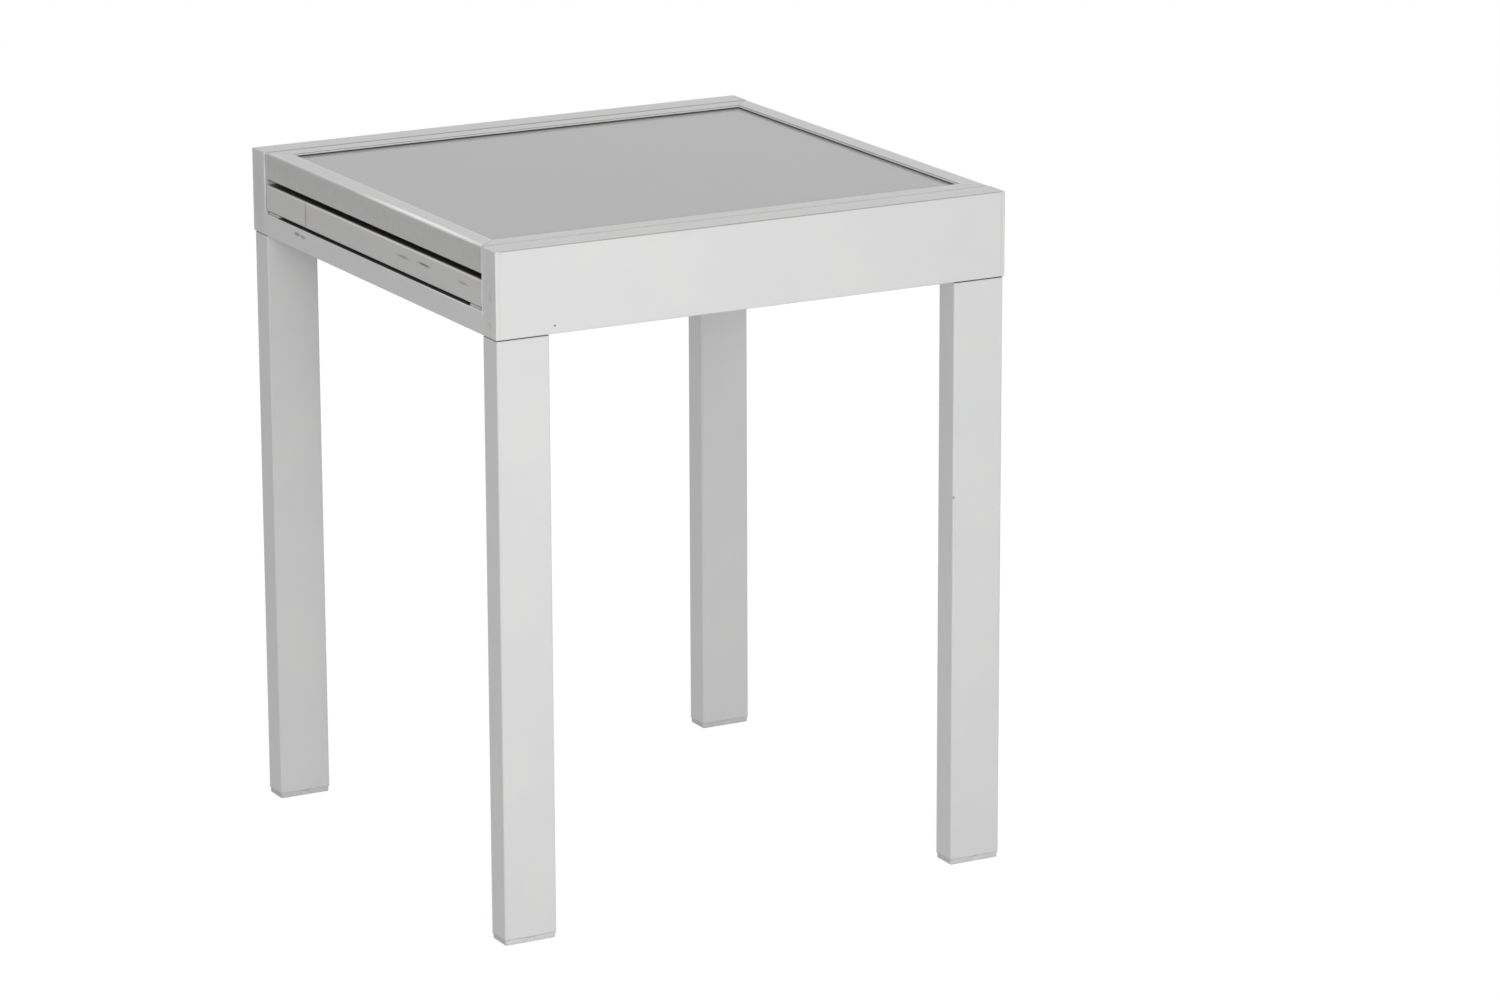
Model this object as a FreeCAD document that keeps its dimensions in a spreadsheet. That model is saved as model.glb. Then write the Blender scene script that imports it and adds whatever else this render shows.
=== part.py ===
"""Extending balcony table: a four-legged aluminium frame with two framed glass leaves, one above the other.

The table is shown closed. The upper leaf slides out to the left and the lower leaf to the right, each on
nylon shoes that run in tracks on the inner side of the two aprons.

Frame: +X along the aprons to the right, +Y to the rear, +Z up, origin on the floor under the middle.
"""

import FreeCAD, Part
import os
import Sketcher

Vector = FreeCAD.Vector

# Driving dimensions, in millimetres

SIZES = {
    # the whole table, closed
    "table_length": 600.0,
    "table_width": 600.0,
    "table_height": 740.0,
    # heights that stack up in an end opening, from the apron's underside
    "end_rail_height": 24.4,
    "rest_gap": 2.4,
    "leaf_height": 29.5,
    "leaf_gap": 6.2,
    # aprons: hollow extrusions with two tracks
    "apron_thickness": 32.0,
    "apron_wall": 2.0,
    "apron_floor": 3.0,
    "bolt_chamber_lip": 12.0,
    "track_chamber": 18.0,
    "track_opening": 12.0,
    "edge_radius": 1.0,
    "weep_hole_diameter": 2.0,
    "weep_hole_inset": 66.6,
    "weep_hole_height": 8.6,
    # end frames: cast U shapes that close the aprons and tie them together
    "end_plate": 4.0,
    "end_rail_depth": 25.0,
    "end_rail_wall": 3.0,
    "end_rail_rib": 4.0,
    "end_corner_radius": 5.0,
    "post_top_radius": 2.0,
    "end_face_radius": 0.6,
    "spigot_length": 30.0,
    "spigot_wall": 3.0,
    "spigot_clearance": 0.2,
    # legs, their top plugs and foot caps
    "leg_width": 60.0,
    "leg_inset": 1.0,
    "leg_wall": 1.8,
    "leg_radius": 2.0,
    "plug_flange": 1.2,
    "plug_flange_inset": 1.0,
    "plug_depth": 22.0,
    "plug_clearance": 0.1,
    "foot_height": 6.0,
    "foot_inset": 0.6,
    "foot_chamfer": 1.2,
    "foot_plug_depth": 14.0,
    "foot_plug_wall": 2.0,
    "foot_corner": 1.6,
    "foot_scallop_radius": 10.0,
    "foot_scallop_depth": 1.2,
    # leaves: mitred hollow bars round a pane of glass
    "leaf_recess": 1.5,
    "side_gap": 1.8,
    "bar_width": 16.0,
    "bar_wall": 1.8,
    "bar_lip_width": 22.5,
    "bar_lip": 2.0,
    "bar_ledge_width": 26.0,
    "bar_ledge": 2.0,
    "bar_lower_radius": 2.5,
    "bar_upper_radius": 0.8,
    "key_arm": 34.0,
    "key_clearance": 0.1,
    "glass_thickness": 5.0,
    "glass_chamfer": 0.6,
    "seal_leg": 1.0,
    "seal_web": 1.5,
    # slide shoes, and the windows through which the lower leaf's shoes rise to the upper track
    "shoe_length": 40.0,
    "shoe_clearance": 0.3,
    "shoe_chamfer": 2.0,
    "upper_shoe_head": 24.0,
    "lower_shoe_head": 8.0,
    "shoe_screw_seat": 6.0,
    "stop_clearance": 0.3,
    "riser_clearance": 2.0,
    "riser_depth_clearance": 0.7,
    # rest pads under the lower leaf's corners
    "pad_width": 25.0,
    "pad_depth": 13.0,
    "pad_side_inset": 4.0,
    "pad_end_inset": 0.2,
    "pad_clearance": 0.2,
    "pad_chamfer": 0.8,
    "pad_stud_diameter": 5.0,
    # fasteners
    "hole_clearance": 0.2,
    "leg_bolt_diameter": 6.0,
    "leg_bolt_pitch": 22.0,
    "leg_bolt_flange_diameter": 12.5,
    "leg_bolt_flange": 1.5,
    "leg_bolt_head_width": 8.0,
    "leg_bolt_head_height": 5.0,
    "leg_bolt_tail": 2.0,
    "nut_width": 10.0,
    "nut_height": 5.0,
    "shoe_screw_diameter": 5.0,
    "shoe_screw_head_diameter": 9.0,
    "shoe_screw_head_height": 2.5,
    "shoe_screw_tail": 5.0,
    "frame_screw_diameter": 5.0,
    "frame_screw_head_diameter": 9.0,
    "frame_screw_head_height": 2.5,
    "frame_screw_tail": 4.0,
}

# Derived sizes, written as formulas over the driving dimensions

APRON_HEIGHT = "(sizes.end_rail_height + sizes.rest_gap + 2 * sizes.leaf_height + sizes.leaf_gap)"
APRON_BOTTOM = f"(sizes.table_height - {APRON_HEIGHT})"
APRON_LENGTH = "(sizes.table_length - 2 * sizes.end_plate)"
APRON_INNER = "(sizes.apron_thickness - sizes.apron_wall)"
OPENING_HALF_WIDTH = "(sizes.table_width / 2 - sizes.apron_thickness)"
BOLT_LIP_TOP = "(sizes.apron_floor + sizes.bolt_chamber_lip)"

# Track levels, measured from the apron's underside
LOWER_TRACK = "(sizes.end_rail_height + sizes.rest_gap + sizes.leaf_height / 2)"
UPPER_TRACK = f"({APRON_HEIGHT} - sizes.leaf_height / 2)"
HALF_CHAMBER = "(sizes.track_chamber / 2)"
HALF_OPENING = "(sizes.track_opening / 2)"

LEG_DEPTH = "sizes.apron_thickness"
LEG_X = "(sizes.table_length / 2 - sizes.leg_inset - sizes.leg_width / 2)"
LEG_Y = f"(sizes.table_width / 2 - sizes.leg_inset - {LEG_DEPTH} / 2)"
LEG_TOP = f"({APRON_BOTTOM} - sizes.plug_flange)"
LEG_LENGTH = f"({LEG_TOP} - sizes.foot_height)"
LEG_BORE_WIDTH = "(sizes.leg_width - 2 * sizes.leg_wall - 2 * sizes.plug_clearance)"
LEG_BORE_DEPTH = f"({LEG_DEPTH} - 2 * sizes.leg_wall - 2 * sizes.plug_clearance)"

LEAF_LENGTH = "(sizes.table_length - 2 * sizes.leaf_recess)"
LEAF_WIDTH = f"(2 * {OPENING_HALF_WIDTH} - 2 * sizes.side_gap)"
UPPER_LEAF_BOTTOM = "(sizes.table_height - sizes.leaf_height)"
LOWER_LEAF_BOTTOM = f"({UPPER_LEAF_BOTTOM} - sizes.leaf_gap - sizes.leaf_height)"
GROOVE_TOP = "(sizes.leaf_height - sizes.bar_lip)"
GROOVE_BOTTOM = f"({GROOVE_TOP} - sizes.glass_thickness - 2 * sizes.seal_leg)"
GLASS_INSET = "(sizes.bar_width + sizes.seal_web)"

# Travel: each leaf is drawn out by half its length, and the lower one a shoe further, to its riser windows
RISER_WIDTH = "(sizes.shoe_length + 2 * sizes.riser_clearance)"
RISER_DEPTH = (
    "(sizes.apron_wall + sizes.shoe_clearance + sizes.lower_shoe_head + sizes.riser_depth_clearance)"
)
UPPER_TRAVEL = f"({LEAF_LENGTH} / 2)"
LOWER_TRAVEL = f"({LEAF_LENGTH} / 2 + {RISER_WIDTH})"
OUTER_SHOE_X = (
    f"({APRON_LENGTH} / 2 - sizes.spigot_length - sizes.stop_clearance - sizes.shoe_length / 2)"
)
UPPER_INNER_SHOE_X = f"({UPPER_TRAVEL} - {OUTER_SHOE_X})"
LOWER_INNER_SHOE_X = f"({LOWER_TRAVEL} - {OUTER_SHOE_X})"
SHOE_NECK = "(sizes.side_gap + sizes.apron_wall + sizes.shoe_clearance)"
SHOE_HEIGHT = "(sizes.leaf_height / 2)"

PAD_HEIGHT = "(sizes.rest_gap - sizes.pad_clearance)"
FRAME_SCREW_X = "((sizes.end_plate + sizes.end_rail_depth) / 2)"
FRAME_SCREW_Z = "(sizes.apron_floor + sizes.bolt_chamber_lip / 2)"
LEG_HOLE = "(sizes.leg_bolt_diameter + 2 * sizes.hole_clearance)"
SHOE_HOLE = "(sizes.shoe_screw_diameter + sizes.hole_clearance)"
FRAME_HOLE = "(sizes.frame_screw_diameter + sizes.hole_clearance)"
STUD_HOLE = "(sizes.pad_stud_diameter + sizes.hole_clearance)"
WEEP_X = "(sizes.weep_hole_inset - sizes.table_length / 2)"

# Counts: bays between the ribs of an end rail, and sides of the fasteners
RAIL_BAYS = 10
HEXAGON_SIDES = 6
ROUND_FLATS = 12

# Directions that fasteners and holes run in
UP = Vector(0, 0, 1)
REARWARD = Vector(0, 1, 0)

# The four corners, and the two signs of a mirrored pair
SIGNS = (-1, 1)
CORNERS = {
    "front_left": (-1, -1),
    "front_right": (1, -1),
    "rear_left": (-1, 1),
    "rear_right": (1, 1),
}

# Sketcher's numbers for the origin and for a line's first and last point
ORIGIN = -1
START = 1
END = 2
CENTRE = 3
TOLERANCE = 1e-4

doc = FreeCAD.newDocument("balcony_table")
sheet = doc.addObject("Spreadsheet::Sheet", "sizes")
parts = []


# Helpers for sketches and features


def fill_sheet():
    """Put each driving dimension in a cell of its own, under its name."""
    for row, (name, number) in enumerate(SIZES.items(), start=1):
        sheet.set(f"A{row}", name)
        sheet.set(f"B{row}", str(number))
        sheet.setAlias(f"B{row}", name)
    doc.recompute()


def value(formula):
    """The number that a formula over the sheet gives."""
    return float(sheet.evalExpression(str(formula)))


def new_body(label, several=False):
    """An empty body, which may hold several separate solids."""
    body = doc.addObject("PartDesign::Body", label)
    body.Label = label
    body.AllowCompound = several
    parts.append(body)
    return body


def place(body, x="0", y="0", z="0", turn=0.0):
    """Put a body at a point given by formulas, turned about +Z by some degrees."""
    body.Placement = FreeCAD.Placement(Vector(), FreeCAD.Rotation(Vector(0, 0, 1), turn))
    for axis, formula in zip("xyz", (x, y, z)):
        body.setExpression(f"Placement.Base.{axis}", formula)


def new_sketch(body, plane, offset="0"):
    """A sketch on one of a body's own planes, moved along the plane's normal by a formula."""
    sketch = body.newObject("Sketcher::SketchObject", f"{body.Name}_sketch")
    origin_plane = next(item for item in body.Origin.OriginFeatures if item.Role == plane)
    sketch.AttachmentSupport = [(origin_plane, "")]
    sketch.MapMode = "FlatFace"
    sketch.setExpression("AttachmentOffset.Base.z", offset)
    return sketch


def fix_points(sketch, position, points):
    """Hold one point of each geometry at a pair of formulas, measured from the sketch's origin."""
    constraints = []
    formulas = []
    for geometry, pair in points.items():
        for kind, formula in zip(("DistanceX", "DistanceY"), pair):
            constraints.append(Sketcher.Constraint(kind, ORIGIN, START, geometry, position, value(formula)))
            formulas.append(formula)
    for index, formula in zip(sketch.addConstraint(constraints), formulas):
        sketch.setExpression(f"Constraints[{index}]", formula)


def add_polygon(sketch, points):
    """A closed outline of straight lines, whose corners are pairs of formulas."""
    corners = [Vector(value(x), value(y), 0) for x, y in points]
    following = corners[1:] + corners[:1]
    lines = sketch.addGeometry([Part.LineSegment(a, b) for a, b in zip(corners, following)])
    joins = zip(lines, lines[1:] + lines[:1])
    sketch.addConstraint([Sketcher.Constraint("Coincident", a, END, b, START) for a, b in joins])
    fix_points(sketch, START, dict(zip(lines, points)))


def add_rectangle(sketch, x_low, x_high, y_low, y_high):
    """A rectangle between formulas."""
    add_polygon(sketch, [(x_low, y_low), (x_high, y_low), (x_high, y_high), (x_low, y_high)])


def add_centred_rectangle(sketch, width, depth, x="0", y="0"):
    """A rectangle of a width and depth about a centre, all formulas."""
    add_rectangle(
        sketch, f"{x} - {width} / 2", f"{x} + {width} / 2", f"{y} - {depth} / 2", f"{y} + {depth} / 2"
    )


def add_circle(sketch, x, y, diameter):
    """A circle about a centre, all formulas."""
    middle = Vector(value(x), value(y), 0)
    circle = sketch.addGeometry(Part.Circle(middle, Vector(0, 0, 1), value(diameter) / 2))
    fix_points(sketch, CENTRE, {circle: (x, y)})
    index = sketch.addConstraint(Sketcher.Constraint("Diameter", circle, value(diameter)))
    sketch.setExpression(f"Constraints[{index}]", diameter)


def pad(body, sketch, length, backwards=False):
    """Extrude a sketch along its normal, or against it."""
    feature = body.newObject("PartDesign::Pad", f"{body.Name}_pad")
    feature.Profile = sketch
    feature.setExpression("Length", length)
    feature.Reversed = backwards
    doc.recompute()


def cut(body, sketch, depth, along_normal=False):
    """Cut a sketch into the body against its normal, or along it, and make sure that it removed material."""
    before = body.Shape.Volume
    feature = body.newObject("PartDesign::Pocket", f"{body.Name}_pocket")
    feature.Profile = sketch
    feature.setExpression("Length", depth)
    feature.Reversed = along_normal
    doc.recompute()
    if body.Shape.Volume > before - TOLERANCE:
        raise RuntimeError(f"a pocket of {body.Label} cut nothing")


def prism(body, kind, sides, diameter, length, point, axis):
    """A prism with its corners on a diameter, from a point of formulas along an axis, added or cut away."""
    feature = body.newObject(f"PartDesign::{kind}Prism", f"{body.Name}_prism")
    feature.Polygon = sides
    feature.setExpression("Circumradius", f"{diameter} / 2")
    feature.setExpression("Height", length)
    feature.Placement = FreeCAD.Placement(Vector(), FreeCAD.Rotation(UP, axis))
    for name, formula in zip("xyz", point):
        feature.setExpression(f"Placement.Base.{name}", formula)
    doc.recompute()


def cut_prism(body, *form):
    """Cut a prism away, and make sure that it removed material."""
    before = body.Shape.Volume
    prism(body, "Subtractive", *form)
    if body.Shape.Volume > before - TOLERANCE:
        raise RuntimeError(f"a hole of {body.Label} cut nothing")


def add_rod(body, point, axis, diameter, length):
    """A fastener's round shank or head. It is small and repeats often, so it has flats."""
    prism(body, "Additive", ROUND_FLATS, diameter, length, point, axis)


def drill(body, point, axis, diameter, depth):
    """A hole for such a shank or head, with the same flats."""
    cut_prism(body, ROUND_FLATS, diameter, depth, point, axis)


def add_hexagon(body, point, axis, across_flats, length):
    """A nut's or a bolt head's hexagon."""
    prism(body, "Additive", HEXAGON_SIDES, f"2 * {across_flats} / sqrt(3)", length, point, axis)


def cut_hexagon(body, point, axis, across_flats, depth):
    """A pocket for such a hexagon."""
    cut_prism(body, HEXAGON_SIDES, f"2 * {across_flats} / sqrt(3)", depth, point, axis)


def add_screw(body, name, point, axis, shank):
    """A screw: its head stands on a point, and its shank runs from there along an axis."""
    add_rod(body, point, axis, f"sizes.{name}_diameter", shank)
    add_rod(body, point, -axis, f"sizes.{name}_head_diameter", f"sizes.{name}_head_height")


def edges_where(body, test):
    """The names of the body's straight edges whose two end points pass a test."""
    names = []
    for number, edge in enumerate(body.Tip.Shape.Edges, start=1):
        ends = [vertex.Point for vertex in edge.Vertexes]
        if len(ends) == 2 and isinstance(edge.Curve, Part.Line) and test(*ends):
            names.append(f"Edge{number}")
    return names


def near(a, b):
    """Whether two lengths are the same."""
    return abs(a - b) < TOLERANCE


def on_line(axis, **levels):
    """A test for edges along an axis that lie at the given levels of the other coordinates."""

    def test(a, b):
        for name in "xyz":
            if name == axis:
                continue
            if not near(getattr(a, name), getattr(b, name)):
                return False
            if name in levels and not near(getattr(a, name), levels[name]):
                return False
        return not near(getattr(a, axis), getattr(b, axis))

    return test


def finish_edges(body, kind, size_name, formula, test):
    """Fillet or chamfer the edges that pass a test."""
    names = edges_where(body, test)
    if not names:
        raise RuntimeError(f"{body.Label} has no such edge")
    feature = body.newObject(f"PartDesign::{kind}", f"{body.Name}_{kind.lower()}")
    feature.Base = (body.Group[-2], names)
    feature.setExpression(size_name, formula)
    doc.recompute()


def fillet(body, radius, test):
    """Round the edges that pass a test."""
    finish_edges(body, "Fillet", "Radius", radius, test)


def chamfer(body, size, test):
    """Bevel the edges that pass a test."""
    finish_edges(body, "Chamfer", "Size", size, test)


# Aprons


def apron_profile():
    """The apron's outline: a bolt chamber and two tracks, all open to the inner side."""
    thickness = "sizes.apron_thickness"
    wall = "sizes.apron_wall"
    bolt_ceiling = f"{LOWER_TRACK} - {HALF_CHAMBER} - {wall}"
    points = [
        ("0", "0"),
        (thickness, "0"),
        (thickness, BOLT_LIP_TOP),
        (APRON_INNER, BOLT_LIP_TOP),
        (APRON_INNER, "sizes.apron_floor"),
        (wall, "sizes.apron_floor"),
        (wall, bolt_ceiling),
        (thickness, bolt_ceiling),
        (thickness, f"{LOWER_TRACK} - {HALF_OPENING}"),
        (APRON_INNER, f"{LOWER_TRACK} - {HALF_OPENING}"),
        (APRON_INNER, f"{LOWER_TRACK} - {HALF_CHAMBER}"),
        (wall, f"{LOWER_TRACK} - {HALF_CHAMBER}"),
        (wall, f"{LOWER_TRACK} + {HALF_CHAMBER}"),
        (APRON_INNER, f"{LOWER_TRACK} + {HALF_CHAMBER}"),
        (APRON_INNER, f"{LOWER_TRACK} + {HALF_OPENING}"),
        (thickness, f"{LOWER_TRACK} + {HALF_OPENING}"),
        (thickness, f"{UPPER_TRACK} - {HALF_OPENING}"),
        (APRON_INNER, f"{UPPER_TRACK} - {HALF_OPENING}"),
        (APRON_INNER, f"{UPPER_TRACK} - {HALF_CHAMBER}"),
        (wall, f"{UPPER_TRACK} - {HALF_CHAMBER}"),
        (wall, f"{APRON_HEIGHT} - {wall}"),
        (APRON_INNER, f"{APRON_HEIGHT} - {wall}"),
        (APRON_INNER, f"{UPPER_TRACK} + {HALF_OPENING}"),
        (thickness, f"{UPPER_TRACK} + {HALF_OPENING}"),
        (thickness, APRON_HEIGHT),
        ("0", APRON_HEIGHT),
    ]
    return points


def build_apron(label, hand):
    """One apron with its outer face at y = 0. Hand is -1 for the apron that is turned round to the rear."""
    body = new_body(label)
    profile = new_sketch(body, "YZ_Plane", f"-{APRON_LENGTH} / 2")
    add_polygon(profile, apron_profile())
    add_rectangle(
        profile,
        "sizes.apron_wall",
        APRON_INNER,
        f"{LOWER_TRACK} + {HALF_CHAMBER} + sizes.apron_wall",
        f"{UPPER_TRACK} - {HALF_CHAMBER} - sizes.apron_wall",
    )
    pad(body, profile, APRON_LENGTH)
    height = value(APRON_HEIGHT)
    thickness = value("sizes.apron_thickness")
    fillet(body, "sizes.edge_radius", on_line("x", y=0, z=0))
    fillet(body, "sizes.edge_radius", on_line("x", y=0, z=height))
    fillet(body, "sizes.edge_radius", on_line("x", y=thickness, z=height))
    cut_riser_windows(body, hand)
    cut_apron_holes(body)
    return body


def cut_riser_windows(body, hand):
    """Two windows that join the tracks where the lower leaf's shoes stand once it is drawn out."""
    windows = new_sketch(body, "XZ_Plane", f"{RISER_DEPTH} - sizes.apron_thickness")
    inner_rise = f"({LOWER_TRAVEL} - {OUTER_SHOE_X})"
    for middle in (OUTER_SHOE_X, inner_rise):
        add_rectangle(
            windows,
            f"{hand} * {middle} - {RISER_WIDTH} / 2",
            f"{hand} * {middle} + {RISER_WIDTH} / 2",
            f"{LOWER_TRACK} - {HALF_OPENING}",
            f"{UPPER_TRACK} + {HALF_OPENING}",
        )
    cut(body, windows, RISER_DEPTH)


def cut_apron_holes(body):
    """Holes for the leg bolts in the floor, and for the end frame's screws in the bolt chamber's lip."""
    bolt_y = f"(sizes.leg_inset + {LEG_DEPTH} / 2)"
    for side in SIGNS:
        for step in SIGNS:
            bolt_x = f"{side} * {LEG_X} + {step} * sizes.leg_bolt_pitch / 2"
            drill(body, (bolt_x, bolt_y, "0"), UP, LEG_HOLE, "sizes.apron_floor")
        screw_x = f"{side} * (sizes.table_length / 2 - {FRAME_SCREW_X})"
        drill(body, (screw_x, APRON_INNER, FRAME_SCREW_Z), REARWARD, FRAME_HOLE, "sizes.apron_wall")


def cut_weep_hole(body):
    """The small drain hole low on the front apron's outer face."""
    hole = new_sketch(body, "XZ_Plane")
    add_circle(hole, WEEP_X, "sizes.weep_hole_height", "sizes.weep_hole_diameter")
    cut(body, hole, "sizes.apron_wall")


def build_aprons():
    """The front and rear aprons."""
    front = build_apron("front_apron", 1)
    cut_weep_hole(front)
    place(front, y="-sizes.table_width / 2", z=APRON_BOTTOM)
    rear = build_apron("rear_apron", -1)
    place(rear, y="sizes.table_width / 2", z=APRON_BOTTOM, turn=180)


# End frames


def pad_end_plate(body):
    """The U-shaped plate: two posts over the apron ends, and the rail below the opening."""
    half = "sizes.table_width / 2"
    plate = new_sketch(body, "YZ_Plane")
    add_polygon(
        plate,
        [
            (f"-{half}", "0"),
            (half, "0"),
            (half, APRON_HEIGHT),
            (OPENING_HALF_WIDTH, APRON_HEIGHT),
            (OPENING_HALF_WIDTH, "sizes.end_rail_height"),
            (f"-{OPENING_HALF_WIDTH}", "sizes.end_rail_height"),
            (f"-{OPENING_HALF_WIDTH}", APRON_HEIGHT),
            (f"-{half}", APRON_HEIGHT),
        ],
    )
    pad(body, plate, "sizes.end_plate")


def round_end_plate(body):
    """Round the plate's corners, and then its outer face's edge, which runs round as one smooth line."""
    half = value("sizes.table_width") / 2
    inner = value(OPENING_HALF_WIDTH)
    height = value(APRON_HEIGHT)
    rail = value("sizes.end_rail_height")
    for sign in SIGNS:
        fillet(body, "sizes.edge_radius", on_line("x", y=sign * half, z=0))
        fillet(body, "sizes.edge_radius", on_line("x", y=sign * half, z=height))
        fillet(body, "sizes.post_top_radius", on_line("x", y=sign * inner, z=height))
        fillet(body, "sizes.end_corner_radius", on_line("x", y=sign * inner, z=rail))
    fillet(body, "sizes.end_face_radius", on_line("z", x=0, y=half))


def pad_end_rail(body):
    """The rail behind the plate, hollowed from its inner face into bays between ribs."""
    rail = new_sketch(body, "YZ_Plane", "sizes.end_plate")
    add_rectangle(rail, f"-{OPENING_HALF_WIDTH}", OPENING_HALF_WIDTH, "0", "sizes.end_rail_height")
    pad(body, rail, "sizes.end_rail_depth - sizes.end_plate")
    bays = new_sketch(body, "YZ_Plane", "sizes.end_rail_depth")
    pitch = f"((2 * {OPENING_HALF_WIDTH} - 2 * sizes.end_rail_wall + sizes.end_rail_rib) / {RAIL_BAYS})"
    first = f"(sizes.end_rail_wall - {OPENING_HALF_WIDTH})"
    for bay in range(RAIL_BAYS):
        add_rectangle(
            bays,
            f"{first} + {bay} * {pitch}",
            f"{first} + {bay + 1} * {pitch} - sizes.end_rail_rib",
            "sizes.end_rail_wall",
            "sizes.end_rail_height - sizes.end_rail_wall",
        )
    cut(body, bays, "sizes.end_rail_depth - sizes.end_plate")


def pad_spigots(body):
    """Hollow spigots that plug the ends of the tracks. Their ends are the stops of the leaves."""
    gap = "sizes.spigot_clearance"
    outer = f"(sizes.table_width / 2 - sizes.apron_wall - {gap})"
    inner = f"(sizes.table_width / 2 - {APRON_INNER} + {gap})"
    levels = [
        (f"({LOWER_TRACK} - {HALF_CHAMBER} + {gap})", f"({LOWER_TRACK} + {HALF_CHAMBER} - {gap})"),
        (f"({UPPER_TRACK} - {HALF_CHAMBER} + {gap})", f"({APRON_HEIGHT} - sizes.apron_wall - {gap})"),
    ]
    spigots = new_sketch(body, "YZ_Plane", "sizes.end_plate")
    wall = "sizes.spigot_wall"
    for sign in SIGNS:
        for low, high in levels:
            add_rectangle(spigots, f"{sign} * {inner}", f"{sign} * {outer}", low, high)
            add_rectangle(
                spigots,
                f"{sign} * ({inner} + {wall})",
                f"{sign} * ({outer} - {wall})",
                f"{low} + {wall}",
                f"{high} - {wall}",
            )
    pad(body, spigots, "sizes.spigot_length")


def cut_frame_screw_holes(body):
    """A screw hole through each of the rail's two end walls, into its end bays."""
    for sign in SIGNS:
        point = (FRAME_SCREW_X, f"{sign} * {OPENING_HALF_WIDTH}", FRAME_SCREW_Z)
        drill(body, point, REARWARD * -sign, FRAME_HOLE, "sizes.end_rail_wall")


def build_end_frames():
    """The left and right end frames, the same casting turned round."""
    for side, turn in (("left", 0), ("right", 180)):
        body = new_body(f"{side}_end_frame")
        pad_end_plate(body)
        round_end_plate(body)
        pad_end_rail(body)
        pad_spigots(body)
        cut_frame_screw_holes(body)
        sign = -1 if side == "left" else 1
        place(body, x=f"{sign} * sizes.table_length / 2", z=APRON_BOTTOM, turn=turn)


def build_frame_screws():
    """The screws that hold the end frames' rails to the aprons."""
    body = new_body("end_frame_screws", several=True)
    shank = "(sizes.end_rail_wall + sizes.apron_wall + sizes.frame_screw_tail)"
    for x_sign, y_sign in CORNERS.values():
        x = f"{x_sign} * (sizes.table_length / 2 - {FRAME_SCREW_X})"
        y = f"{y_sign} * ({OPENING_HALF_WIDTH} - sizes.end_rail_wall)"
        add_screw(body, "frame_screw", (x, y, FRAME_SCREW_Z), REARWARD * y_sign, shank)
    place(body, z=APRON_BOTTOM)


# Legs


def at_corner(corner):
    """The formulas for a leg's centre line at a corner."""
    x_sign, y_sign = CORNERS[corner]
    return f"{x_sign} * {LEG_X}", f"{y_sign} * {LEG_Y}"


def upright_edges(width, depth):
    """Tests for the four upright edges of a block about the origin."""
    half_width = value(width) / 2
    half_depth = value(depth) / 2
    return [on_line("z", x=x_sign * half_width, y=y_sign * half_depth) for x_sign, y_sign in CORNERS.values()]


def build_leg(corner):
    """A rectangular tube with rounded corners."""
    body = new_body(f"{corner}_leg")
    tube = new_sketch(body, "XY_Plane")
    walls = "2 * sizes.leg_wall"
    add_centred_rectangle(tube, "sizes.leg_width", LEG_DEPTH)
    add_centred_rectangle(tube, f"(sizes.leg_width - {walls})", f"({LEG_DEPTH} - {walls})")
    pad(body, tube, LEG_LENGTH)
    for upright in upright_edges("sizes.leg_width", LEG_DEPTH):
        fillet(body, "sizes.leg_radius", upright)
    x, y = at_corner(corner)
    place(body, x, y, "sizes.foot_height")


def build_leg_plug(corner):
    """The moulded plug in a leg's top: a thin flange under the apron and pockets for two nuts below."""
    body = new_body(f"{corner}_leg_plug")
    flange = new_sketch(body, "XY_Plane")
    inset = "2 * sizes.plug_flange_inset"
    add_centred_rectangle(flange, f"(sizes.leg_width - {inset})", f"({LEG_DEPTH} - {inset})")
    pad(body, flange, "sizes.plug_flange")
    block = new_sketch(body, "XY_Plane")
    add_centred_rectangle(block, LEG_BORE_WIDTH, LEG_BORE_DEPTH)
    pad(body, block, "sizes.plug_depth", backwards=True)
    for step in SIGNS:
        point = (f"{step} * sizes.leg_bolt_pitch / 2", "0", "-sizes.plug_depth")
        drill(body, point, UP, LEG_HOLE, "sizes.plug_depth + sizes.plug_flange")
        cut_hexagon(body, point, UP, "(sizes.nut_width + sizes.hole_clearance)", "sizes.nut_height")
    x, y = at_corner(corner)
    place(body, x, y, LEG_TOP)


def build_foot_cap(corner):
    """The moulded cap on a leg's foot: a bevelled sole, a hollow plug and two scallops to grip it by."""
    body = new_body(f"{corner}_foot_cap")
    width = "(sizes.leg_width - 2 * sizes.foot_inset)"
    depth = f"({LEG_DEPTH} - 2 * sizes.foot_inset)"
    sole = new_sketch(body, "XY_Plane")
    add_centred_rectangle(sole, width, depth)
    pad(body, sole, "sizes.foot_height")
    for upright in upright_edges(width, depth):
        chamfer(body, "sizes.foot_corner", upright)
    for axis in "xy":
        chamfer(body, "sizes.foot_chamfer", on_line(axis, z=0))
    for hand in SIGNS:
        scallop = new_sketch(body, "XY_Plane")
        centre = f"{hand} * ({depth} / 2 + sizes.foot_scallop_radius - sizes.foot_scallop_depth)"
        add_circle(scallop, "0", centre, "2 * sizes.foot_scallop_radius")
        cut(body, scallop, "sizes.foot_height", along_normal=True)
    plug = new_sketch(body, "XY_Plane", "sizes.foot_height")
    add_centred_rectangle(plug, LEG_BORE_WIDTH, LEG_BORE_DEPTH)
    walls = "2 * sizes.foot_plug_wall"
    add_centred_rectangle(plug, f"({LEG_BORE_WIDTH} - {walls})", f"({LEG_BORE_DEPTH} - {walls})")
    pad(body, plug, "sizes.foot_plug_depth")
    x, y = at_corner(corner)
    place(body, x, y)


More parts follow.
